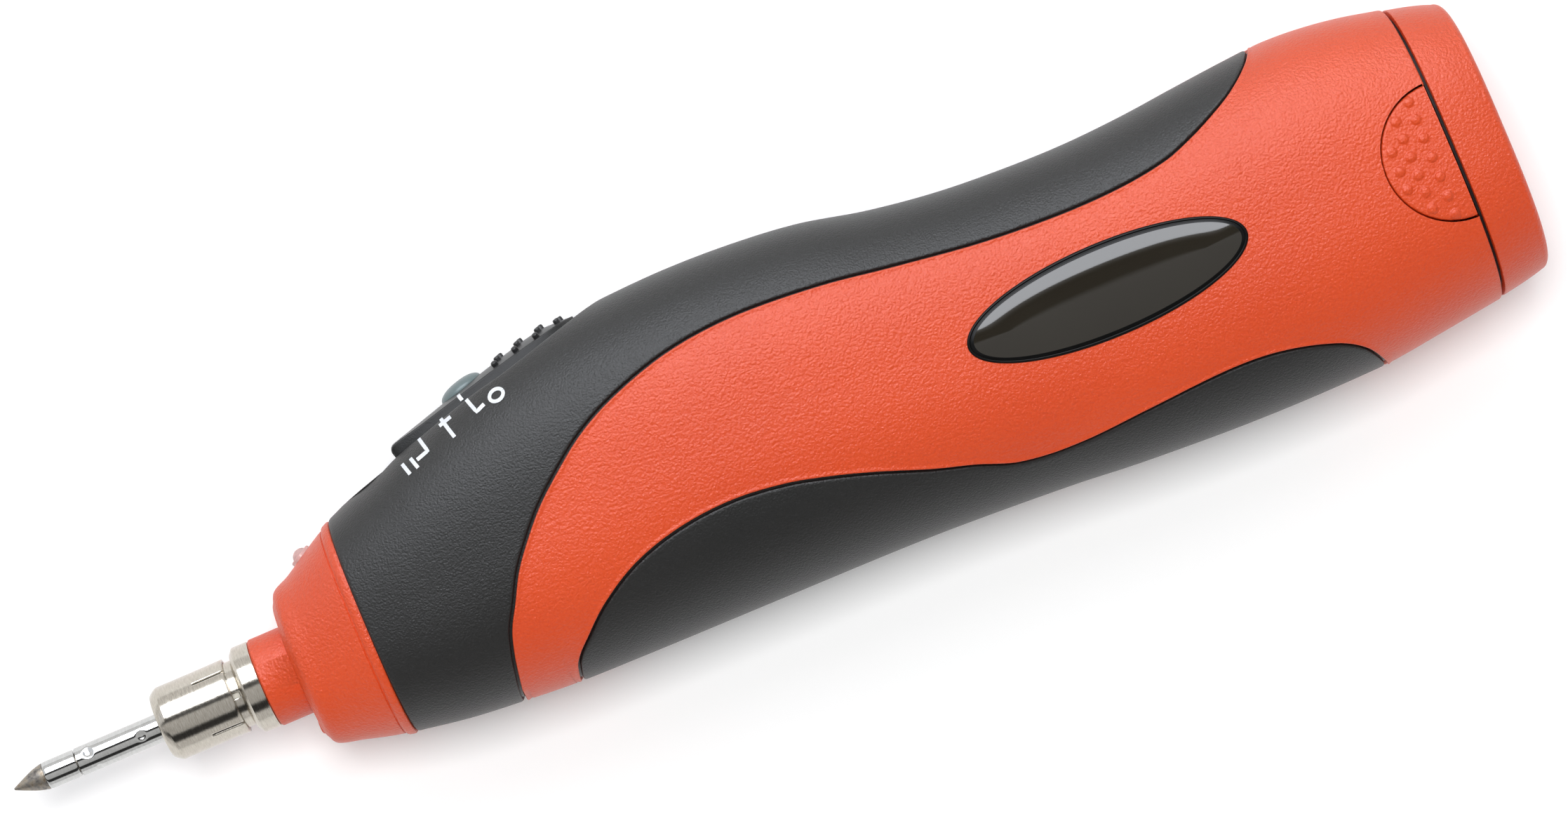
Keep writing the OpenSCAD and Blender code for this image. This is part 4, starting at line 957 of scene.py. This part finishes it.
out = bit["radius"]
makePiece("tipCone", turned([[0, 0], [.04, .12], [.15, .2], [.5, .36], [.9, .54], [1.4, .76],
                             [1.9, .98], [2.6, 1.28], [3.2, 1.51], [3.9, 1.71], [4.55, 1.85],
                             [4.7, 1.86], [4.74, 1.8], [4.76, 1.0]], 72),
          "tip", tipMetal, ["tip_bit"], sharp=60)
makePiece("tipSleeve", turned([[4.75, 1.0], [4.75, 1.82], [4.82, 1.88], [5.0, out - .02],
                               [5.3, out], [8.9, out], [9.3, out - .03], [9.42, out - .1],
                               [9.46, out - .3], [9.46, 1.0]], 72),
          "tip", polishedSteel, ["tip_sleeve"], sharp=40)
makePiece("tipCoreNeck", turned([[9.1, 0], [9.1, 1.35], [9.75, 1.35], [9.75, 0]], 48),
          "tip", tipMetal)
makePiece("heaterTube", heaterTube(), "tip", polishedSteel, ["heater_tube"],
          sharp=40)
print("tip ready")

# Badge
badge = {
    "share": .687, "height": .536, "halfLength": 20.3, "halfHeight": 6.4, "rim": .95,
    "edge": .2, "rise": .72,
}
badge["x"] = handle["bodyX"] + badge["share"] * (handle["seamX"] - handle["bodyX"])
middle, h, _ = (float(v) for v in sectionAt(badge["x"]))
badge["y"] = middle - h + 2 * h * badge["height"]


def badgeRows(profile, count=200):
    # Rings of an ellipse, inset from its edge, at a height over the skin that they lie on
    a = np.radians(np.arange(count) * 360 / count)
    inset, height = (np.asarray(profile, float)[:, k, None] for k in (0, 1))
    x = badge["x"] + (badge["halfLength"] - inset) * np.cos(a)
    y = badge["y"] + (badge["halfHeight"] - inset) * np.sin(a)
    return np.stack([x, y, skinZ(x, y) + height], -1)


def domeHeight(inset):
    # Poured resin: edge height plus rise (1 - q^2), q being the share of the way to the edge
    q = 1 - inset / badge["halfHeight"]
    return badge["edge"] + badge["rise"] * (1 - q ** 2)


rim = badge["rim"]
profile = [(0, -.5), (0, -.02), (.04, .1), (.12, .19), (.24, .25), (.36, .25), (.44, .2),
           (.48, .16)]
profile += [(v, float(domeHeight(v)) - .04) for v in (.5, .56)]
profile += [(v, float(domeHeight(v))) for v in (.62, rim)]
makePiece("badgeRim", sheetOf(badgeRows(profile), roundCols=True), "housing",
          glossBlack, ["badge_plate"], sharp=60)
profile = [(v, float(domeHeight(v))) for v in rim + (badge["halfHeight"] - rim)
           * np.linspace(0, 1, 26) ** 1.2]
rows = badgeRows(profile)
# past the inset of the short half axis the rings close on the middle line
rows[-1, :, 1] = badge["y"]
makePiece("badgeDome", sheetOf(rows, roundCols=True), "housing", badgeResin,
          ["badge_dome"], sharp=80)
print("badge ready")

# Switch
slider = {
    # shares of the blade's length against shares of its height or width
    "edge": [[0, .45], [.006, .6], [.015, .7], [.04, .77], [.17, .665], [.366, .58], [.6, .48],
             [.836, .3], [.954, .2], [1, .1]],
    "crown": [[0, .16], [.006, .2], [.015, .2], [.04, .147], [.17, .252], [.366, .337], [.6, .41],
              [.836, .44], [.954, .12], [1, .02]],
    "plan": [[0, .44], [.006, .462], [.02, .48], [.06, .49], [.15, .5], [.5, .5], [.7, .47],
             [.85, .41], [.94, .3], [1, .1]],
    "nubRows": [[.601, 5], [.711, 5], [.821, 5], [.911, 3]],
    "nubRadius": .46, "nubHeight": .62, "nubPitch": 2.4, "nubBow": 1.08, "nubLean": 26.0,
    "lean": .35,
}


def sliderHalf(s):
    # Half width of the slide at the share s of its length
    return switch["width"] * smoothCurve(slider["plan"], s)


def sliderTop(s, z):
    # Height over the track: an edge height plus a crown that falls as 1 - q^2
    q = np.clip(np.abs(z) / sliderHalf(s), 0, 1)
    return switch["gap"] + switch["height"] * (
        smoothCurve(slider["edge"], s) + smoothCurve(slider["crown"], s) * (1 - q ** 2))


def sliderStations(n):
    # Shares of the slide's length, closer together at its rounded front
    return np.concatenate([[0, .002, .005, .01, .018, .03], np.linspace(.045, 1, n)])


def slideBody():
    # Leaning side walls from the deck to the rim line, a small groove, and the flat underside
    s = sliderStations(60)
    w = sliderHalf(s)
    top = switch["gap"] + switch["height"] * smoothCurve(slider["edge"], s)
    lean = slider["lean"] * np.clip(s / .3, 0, 1)
    low = 0 * s + .02
    rings = [(w, low), (w + lean, low), (w + lean * .9, low + .06),
             (w + .05, top - .2), (w + .03, top - .13), (w - .05, top - .08), (w - .12, top - .04),
             (w - .12, top + .05)]
    place = switch["rest"] + s * switch["length"]
    near = np.stack([trackPoints(place, t, z) for z, t in rings])
    far = np.stack([trackPoints(place, t, -z) for z, t in rings])
    grid = np.concatenate([near, far[::-1]]).transpose(1, 0, 2)
    ends = [sheetOf(np.stack([near[:, k], far[:, k]])) for k in (0, -1)]
    return joined([sheetOf(grid, roundCols=True)] + ends)


def slideCap():
    # Crowned top: rows from one edge over the crown to the other, rolled over at the edges
    s = sliderStations(60)
    w = sliderHalf(s)
    across = np.concatenate([[-1, -1, -.992, -.975, -.94], np.linspace(-.89, .89, 25),
                             [.94, .975, .992, 1, 1]])
    drop = np.array([.16, .1, .04, .01, 0] + [0] * 25 + [0, .01, .04, .1, .16])
    z = w[:, None] * across
    height = sliderTop(s[:, None] + 0 * z, z) - drop
    x = switch["rest"] + s[:, None] * switch["length"] + 0 * z
    rows = trackPoints(x, height, z)
    front = trackPoints(x[0] + .04, height[0] * 0 + switch["gap"] + .6, z[0])[None]
    return sheetOf(np.concatenate([front, rows]))


def nubs():
    # Turned pegs in rows; a row bows forwards by bow (1 - |q|^1.3), q being -1 to 1 across it
    parts = []
    for share, count in slider["nubRows"]:
        for k in range(count):
            z = (k - (count - 1) / 2) * slider["nubPitch"]
            q = z / (2 * slider["nubPitch"])
            s = share + slider["nubBow"] * (1 - abs(q) ** 1.3) / switch["length"]
            top = float(sliderTop(np.array(s), np.array(z)))
            r, h = slider["nubRadius"], slider["nubHeight"]
            points, faces = turned([[-.9, r], [h - .2, r], [h - .08, r - .05], [h - .02, r - .14],
                                    [h, r - .26], [h, 0]], 24)
            # each nub leans out with the crown it stands on
            lean = math.radians(slider["nubLean"]) * q
            height = top + points[:, 0] * math.cos(lean) - points[:, 2] * math.sin(lean)
            across = z + points[:, 0] * math.sin(lean) + points[:, 2] * math.cos(lean)
            parts.append((trackPoints(switch["rest"] + s * switch["length"] + points[:, 1],
                                      height, across), faces))
    return joined(parts)


def wellRim():
    # Rounded edge of the well in the deck, then its wall down to the track
    rows = []
    for grow, drop in ((switch["lip"], 0), (.16, .02), (.05, .1), (0, .25), (0, 1.1)):
        s, z = stadium(grow, 240)
        p = onUpperSkin(s, z)
        p[:, 0] += drop * trackSin
        p[:, 1] -= drop * trackCos
        rows.append(p)
    return sheetOf(np.stack(rows), roundCols=True)


makePiece("switchWellRim", wellRim(), "housing", softGrip, sharp=50)
makePiece("slideBody", slideBody(), "slide_switch", grainedBlack, ["slide_switch"],
          sharp=42)
makePiece("slideCap", slideCap(), "slide_switch", satinBlack, sharp=42)
makePiece("slideNubs", nubs(), "slide_switch", satinBlack, sharp=50)
button = {"share": .396, "shift": .45, "radius": 3.3, "dome": 1.2, "skirt": 1.3, "stem": 1.2,
          "stemEnd": -4.5}
button["s"] = switch["rest"] + button["share"] * switch["length"] + button["shift"]
baseHeight = float(sliderTop(np.array(button["share"]), np.array(0.0)))
r = button["radius"]
profile = ([[button["stemEnd"], 0], [button["stemEnd"], button["stem"]],
            [button["skirt"], button["stem"]], [button["skirt"], r], [baseHeight - .1, r]]
           + [[baseHeight - .1 + (button["dome"] + .1) * math.sin(v), r * math.cos(v) ** .8]
              for v in np.linspace(.05, math.pi / 2 - 1e-3, 16)]
           + [[baseHeight + button["dome"], 0]])
points, faces = turned(profile, 64)
points = trackPoints(button["s"] + points[:, 1], points[:, 0], points[:, 2])
makePiece("heatButton", (points, faces), "heat_button", buttonGrey, ["heat_button"],
          sharp=50)
print("switch ready")

# Printed marks
# the levelled photograph: its scale at the parting plane, its middle and how far the camera was
photo = {"perMm": 10.4, "middleX": 1219, "middleY": 64, "distance": 880.0, "width": 2235}
marks = {
    "stroke": .53, "ringStroke": .5, "lift": .03, "index": 20.9,
    "ring": (852, 249), "ringLong": 10.8, "ringHigh": 7.9,
    "strokes": [
        [(690, 211), (695, 193)], [(704, 214), (709, 197)],
        [(726, 235), (731, 214), (712, 208)],
        [(766, 249), (774, 217)], [(760, 240), (780, 246)],
        [(810, 260), (817, 238), (831, 244)]],
}


def skinStrip(path, width, lift):
    # A ribbon of ink on the near side of the skin: points across a path in the side view
    path = np.asarray(path, float)
    fine = []
    for a, b in zip(path[:-1], path[1:]):
        steps = max(2, int(np.linalg.norm(b - a) / .3))
        fine += [a + (b - a) * k / steps for k in range(steps)]
    fine = np.array(fine + [path[-1]])
    along = np.gradient(fine, axis=0)
    along /= np.linalg.norm(along, axis=1, keepdims=True)
    across = np.stack([-along[:, 1], along[:, 0]], -1)
    offsets = np.linspace(-.5, .5, 4)
    xy = fine[:, None] + across[:, None] * offsets[None, :, None] * width
    angle = angleOf(xy[..., 0], xy[..., 1])
    p = skin(xy[..., 0], angle) + skinNormal(xy[..., 0], angle) * lift
    return sheetOf(p)


def trueXY(px, py):
    # A place measured in the levelled photograph, in pixels, to millimetres on the skin
    scale, middleX, middleY = photo["perMm"], photo["middleX"], photo["middleY"]
    x, y = px / scale, py / scale
    for _ in range(4):
        near = 1 - float(skinZ(np.array(x), np.array(y))) / photo["distance"]
        x = (middleX + (px - middleX) * near) / scale
        y = (middleY + (py - middleY) * near) / scale
    return [x, y]


def ringPoint(a):
    # The printed ring is an ellipse that lies along the track
    long, high = marks["ringLong"] * math.cos(a), marks["ringHigh"] * math.sin(a)
    return trueXY(marks["ring"][0] + long * trackCos - high * trackSin,
                  marks["ring"][1] + long * trackSin + high * trackCos)


parts = [skinStrip([trueXY(*p) for p in s], marks["stroke"], marks["lift"])
         for s in marks["strokes"]]
parts.append(skinStrip([ringPoint(a) for a in np.linspace(0, 2 * math.pi, 33)],
                       marks["ringStroke"], marks["lift"]))
makePiece("printedMarks", parts, "housing", whiteInk, sharp=80)


def indexMark():
    # The slide's own stroke: down its near wall and over the edge, square to the track
    place = (marks["index"] - switch["rest"]) / switch["length"]
    w, edge = float(sliderHalf(place)), switch["gap"] + switch["height"] * float(
        smoothCurve(slider["edge"], place))
    lift = marks["lift"]
    z = np.array([w + slider["lean"] * .75, w + .07, w - .02, w - .12, w - .5, w - 1.2]) + lift
    crown = sliderTop(np.full(3, place), z[3:]) + 1.5 * lift
    t = np.concatenate([[.75, edge - .16, edge + .01], crown])
    s = marks["index"] + np.linspace(-.5, .5, 4) * marks["stroke"]
    return sheetOf(trackPoints(s[:, None], t[None, :], z[None, :]))


makePiece("indexMark", indexMark(), "slide_switch", whiteInk, sharp=80)
print("marks ready")

# End cap and release pads
capSpec = {"gap": .5, "faces": 180, "skirtLength": 5.0, "skirtDepth": 3.4, "skirtWall": 1.4,
           "wall": 1.8, "floor": 1.6, "clear": 10.9, "round": 1.1, "drawIn": 1.5,
           "tongueReach": 7, "tongueHalf": 4, "tongueThick": 1.2, "tongueGap": .6}


def endCap():
    # Outer skin with a rounded rear edge and a flat end, an inner cup, and the skirt with tongues
    c = capSpec
    seamX, endX = handle["seamX"], handle["endX"]
    n = c["faces"]
    flat = endX - c["round"]
    x = np.concatenate([seamX + c["gap"] + np.array([0, .02, .1, .25]),
                        np.linspace(seamX + 1, flat, 26)])
    inset = np.concatenate([[c["wall"], .22, .06, 0], np.zeros(26)])
    outer = fullRing(x, inset, n)
    turns = np.radians(np.linspace(8, 90, 9))
    base = fullRing([flat], [0], n)[0]
    rear = []
    middle = np.array([0, float(sectionAt(np.array(flat))[0]), 0])
    for t in turns:
        p = base.copy()
        d = p[:, 1:] - middle[1:]
        size = np.linalg.norm(d, axis=1, keepdims=True)
        p[:, 1:] = middle[1:] + d * (1 - c["drawIn"] * (1 - math.cos(t)) / size)
        p[:, 0] = flat + c["round"] * math.sin(t)
        rear.append(p)
    last = rear[-1]
    for v in np.linspace(0, 1, 7)[1:]:
        p = last.copy()
        p[:, 1:] = last[:, 1:] + (middle[1:] - last[:, 1:]) * v
        rear.append(p)
    parts = [sheetOf(np.concatenate([outer, np.stack(rear)]), roundCols=True)]
    innerX = np.array([seamX + c["gap"], endX - c["floor"] - .8, endX - c["floor"]])
    inner = fullRing(innerX, [c["wall"], c["wall"], c["wall"] + 1.2], n)
    inner[0, :, 0] = seamX + c["gap"]
    centre = np.array([endX - c["floor"], middle[1], 0])
    floor = inner[-1][None] + (centre - inner[-1])[None] * np.linspace(0, 1, 4)[1:, None, None]
    parts.append(sheetOf(np.concatenate([inner, floor]), roundCols=True))
    for low in (0, 1):
        edge = 1 if low else -1
        depth = c["skirtDepth"]
        yCut = pads["y"] - edge * c["clear"]
        m, h, _ = (float(v) for v in sectionAt(seamX))
        u = (yCut - m) / (h - depth)
        p = float(powerAt(seamX, u > 0))
        cutAngle = math.degrees(math.acos(np.sign(u) * abs(u) ** (p / 2)))
        start, stop = (cutAngle, 180) if low else (0, cutAngle)
        a = np.linspace(start, stop, 40)
        a = np.concatenate([a, 360 - a[::-1]]) if low else np.concatenate([-a[::-1], a])
        folded = np.where(a > 180, 360 - a, np.abs(a))
        sign = np.where((a > 180) | (a < 0), -1, 1)
        loops = []
        for xx, d in ((seamX + 2, depth), (seamX - c["skirtLength"], depth),
                      (seamX - c["skirtLength"], depth + c["skirtWall"]),
                      (seamX + 2, depth + c["skirtWall"])):
            q = skin(np.full(len(a), seamX), folded, d)
            q[:, 2] *= sign
            q[:, 0] = xx
            loops.append(q)
        grid = np.stack(loops)
        parts.append(sheetOf(grid))
        parts += [(grid[:, k], np.array([[0, 1, 2, 3]])) for k in (0, -1)]
    return joined(parts)


def tongueBox(side):
    # One flat tongue behind each release pad, with rounded edges from a bevel
    c = capSpec
    w = float(sectionAt(np.array(handle["seamX"]))[2])
    z1 = w - handle["wall"] - c["tongueGap"] - pads["travel"] - c["tongueGap"]
    z0 = z1 - c["tongueThick"]
    x, y, z = np.meshgrid([handle["seamX"] - c["tongueReach"], handle["endX"] - c["floor"]],
                          [pads["y"] - c["tongueHalf"], pads["y"] + c["tongueHalf"]],
                          [side * z0, side * z1], indexing="ij")
    p = np.stack([x, y, z], -1).reshape(-1, 3)
    f = np.array([[0, 1, 3, 2], [4, 6, 7, 5], [0, 4, 5, 1], [2, 3, 7, 6], [0, 2, 6, 4],
                  [1, 5, 7, 3]])
    return p, f


makePiece("endCapShell", endCap(), "end_cap", redAbs, ["end_cap"], sharp=40)
tongues = makePiece("endCapTongues", [tongueBox(1), tongueBox(-1)], "end_cap",
                    redAbs)
bevel = tongues.modifiers.new("edges", "BEVEL")
bevel.width, bevel.segments = .0003, 2


def releasePad():
    # Half disc of the skin in polar steps; each bump adds height (1 - (d/r)^2)^0.6 over it
    rho = np.concatenate([np.linspace(0, pads["radius"] - pads["round"], 64),
                          pads["radius"] - np.array([.22, .1, .03, 0])])
    turn = np.radians(np.linspace(90, 270, 200))
    x = handle["seamX"] - pads["seamGap"] + rho[:, None] * np.cos(turn)
    y = pads["y"] + rho[:, None] * np.sin(turn)
    height = np.zeros_like(x)
    for bx, by in pads["bumps"]:
        d = np.hypot(x - (handle["seamX"] - bx * pads["window"]),
                     y - (pads["y"] + by * pads["window"]))
        height = np.maximum(height, pads["bumpHeight"]
                            * np.clip(1 - (d / pads["bumpRadius"]) ** 2, 0, 1) ** .6)
    edge = np.clip((rho - (pads["radius"] - pads["round"])) / pads["round"], 0, 1)[:, None]
    drop = pads["roundDrop"] * (1 - np.sqrt(np.clip(1 - edge ** 2, 0, 1)))
    z = skinZ(x, y) + height - drop
    top = np.stack([x, y, z], -1)

    def sunk(points):
        # The same points on the pad's back, which is cut flat clear of the battery carrier
        points = points.copy()
        points[..., 2] = np.maximum(skinZ(points[..., 0], points[..., 1], pads["depth"]),
                                    pads["flatBack"])
        return points
    line = np.concatenate([top[::-1, 0], top[1:, -1]])
    return joined([sheetOf(np.concatenate([top, sunk(top[-1:])])),
                   sheetOf(np.stack([line, sunk(line)])), sheetOf(sunk(top[::8, ::8]))])


for name, pad in (("Near", releasePad()), ("Far", mirrored(releasePad()))):
    body = "release_" + name.lower()
    makePiece("releasePad" + name, pad, body, redAbs, [body], sharp=60)
print("rear end ready")

# Finishes of the CAD nodes that stay
finishes = {
    "switch_track": softGrip, "circuit_board": greenBoard, "heat_switch": springSteel,
    "socket_insulator": ceramic, "socket_pin": brass, "contact_plate": blackAbs,
    "bay_contacts": brass, "housing_screws": blackScrew, "battery_wires": redWire,
    "socket_wires": redWire, "switch_carriage": blackAbs, "switch_wiper": brass,
    "cap_seal": sealRubber, "battery_carrier": blackAbs, "carrier_contacts": springSteel,
    "battery_cell_1": cellFilm, "battery_cell_2": cellFilm, "battery_cell_3": cellFilm,
    "battery_cell_4": cellFilm, "heater_core": ceramic, "tip_holder": ceramic, "tip_rod": brass,
}
for name, material in finishes.items():
    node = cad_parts[name]
    node.data.materials.clear()
    node.data.materials.append(material)
print("finishes on", len(finishes), "CAD nodes")

# Floor, light and camera
studio = {"roll": 23.0, "centre": (117.2, 6.15), "fieldWidth": photo["width"] / photo["perMm"],
          "floorSize": 4.0, "cardGlow": 0.12, "sensor": 36, "clip": (.05, 10)}


def floorMaterial():
    # White card: a faint glow that only the camera sees makes it white, and it keeps the shadow
    material, tree, shader, _ = newMaterial("whiteCard", {"Roughness": 0.9})
    shader.inputs["Base Color"].default_value = (.95, .95, .95, 1)
    shader.inputs["Emission Color"].default_value = (1, 1, 1, 1)
    path = addNode(tree, "ShaderNodeLightPath")
    glow = addNode(tree, "ShaderNodeMath", {"operation": "MULTIPLY", 1: studio["cardGlow"]},
                   {0: path.outputs["Is Camera Ray"]})
    tree.links.new(glow.outputs[0], shader.inputs["Emission Strength"])
    return material


bpy.ops.mesh.primitive_plane_add(size=studio["floorSize"])
floor = bpy.context.object
floor.name = "floorCard"
floor.data.materials.append(floorMaterial())


def studioWorld(spec):
    # Light by direction round the iron's axis: a long soft box high on the switch side, dark
    # gaps beside it, a paler card overhead and white card low down
    world = bpy.data.worlds.new("studioWorld")
    bpy.context.scene.world = world
    world.use_nodes = True
    tree = world.node_tree
    where = addNode(tree, "ShaderNodeTexCoord")
    way = addNode(tree, "ShaderNodeSeparateXYZ", {}, {0: where.outputs["Generated"]})
    angle = addNode(tree, "ShaderNodeMath", {"operation": "ARCTAN2"},
                    {0: way.outputs["Y"], 1: way.outputs["Z"]})
    share = addNode(tree, "ShaderNodeMapRange", {"From Min": -math.pi, "From Max": math.pi},
                    {"Value": angle.outputs[0]})
    level = ramp(tree, share.outputs[0],
                 [((a + 180) / 360, v / spec["peak"]) for a, v in spec["levels"]])
    box = ramp(tree, share.outputs[0], [
        ((a + 180) / 360, shade)
        for a, shade in ((20, "#FFFFFF"), (45, spec["tint"]), (70, "#FFFFFF"))])
    tinted = addNode(tree, "ShaderNodeMix", {"data_type": "RGBA", "blend_type": "MULTIPLY", 0: 1.0},
                     {6: level, 7: box})
    background = tree.nodes["Background"]
    background.inputs["Strength"].default_value = spec["peak"]
    tree.links.new(tinted.outputs[2], background.inputs["Color"])
    # the camera sees plain white beyond the card
    white = addNode(tree, "ShaderNodeBackground", {"Color": (1, 1, 1, 1), "Strength": 1.0})
    path = addNode(tree, "ShaderNodeLightPath")
    seen = addNode(tree, "ShaderNodeMixShader", {}, {0: path.outputs["Is Camera Ray"],
                                                     1: background.outputs[0], 2: white.outputs[0]})
    tree.links.new(seen.outputs[0], tree.nodes["World Output"].inputs["Surface"])


studioWorld({
    "peak": 1.0, "tint": "#F2F6FF",
    "levels": [(-180, .7), (-66, .7), (-61, .04), (-40, .03), (-35, .5), (3, .6), (7, .06),
               (18, .05), (23, .9), (64, .9), (72, .8), (179, .75)]})


def areaLight(name, place, target, size, energy, tint="#FFFFFF", diffuse=True, glossy=True):
    # A rectangular lamp at a place, turned to its target; its light may leave out the sheen
    # or the plain shading
    data = bpy.data.lights.new(name, "AREA")
    data.color = colour(tint)[:3]
    data.shape = "RECTANGLE"
    data.size, data.size_y = size
    data.energy = energy
    lamp = bpy.data.objects.new(name, data)
    bpy.context.scene.collection.objects.link(lamp)
    lamp.location = place
    lamp.visible_diffuse, lamp.visible_glossy = diffuse, glossy
    direction = np.array(target) - np.array(place)
    flat = math.hypot(direction[0], direction[1])
    lamp.rotation_euler = (math.atan2(flat, -direction[2]), 0,
                           math.atan2(direction[1], direction[0]) - math.pi / 2)


roll = math.radians(studio["roll"])
right = np.array([math.cos(roll), -math.sin(roll), 0])
upward = np.array([math.sin(roll), math.cos(roll), 0])


def fromView(r, u, z):
    # A place given to the right and upwards in the picture, and above the floor, in metres
    return tuple(right * r + upward * u + np.array([0, 0, z]))


# A soft box for the sheen and the window on the badge, and a small lamp almost over the iron,
# whose shadow hugs the lower edges
areaLight("softBox", (0, .62, .75), (0, 0, .02), (1.0, .66), 12.5, "#F4F8FF", diffuse=False)
areaLight("topLamp", fromView(-.05, .14, 1.3), (0, 0, .02), (.36, .36), 10.6, glossy=False)

cameraData = bpy.data.cameras.new("camera")
camera = bpy.data.objects.new("camera", cameraData)
bpy.context.scene.collection.objects.link(camera)
cameraData.sensor_width = studio["sensor"]
cameraData.lens = studio["sensor"] * photo["distance"] / studio["fieldWidth"]
cameraData.clip_start, cameraData.clip_end = studio["clip"]
camera.location = ((studio["centre"][0] + shift[0]) / 1000, (studio["centre"][1] + shift[1]) / 1000,
                   (shift[2] + photo["distance"]) / 1000)
camera.rotation_euler = (0, 0, -roll)
bpy.context.scene.camera = camera
bpy.context.scene.view_settings.view_transform = "Standard"
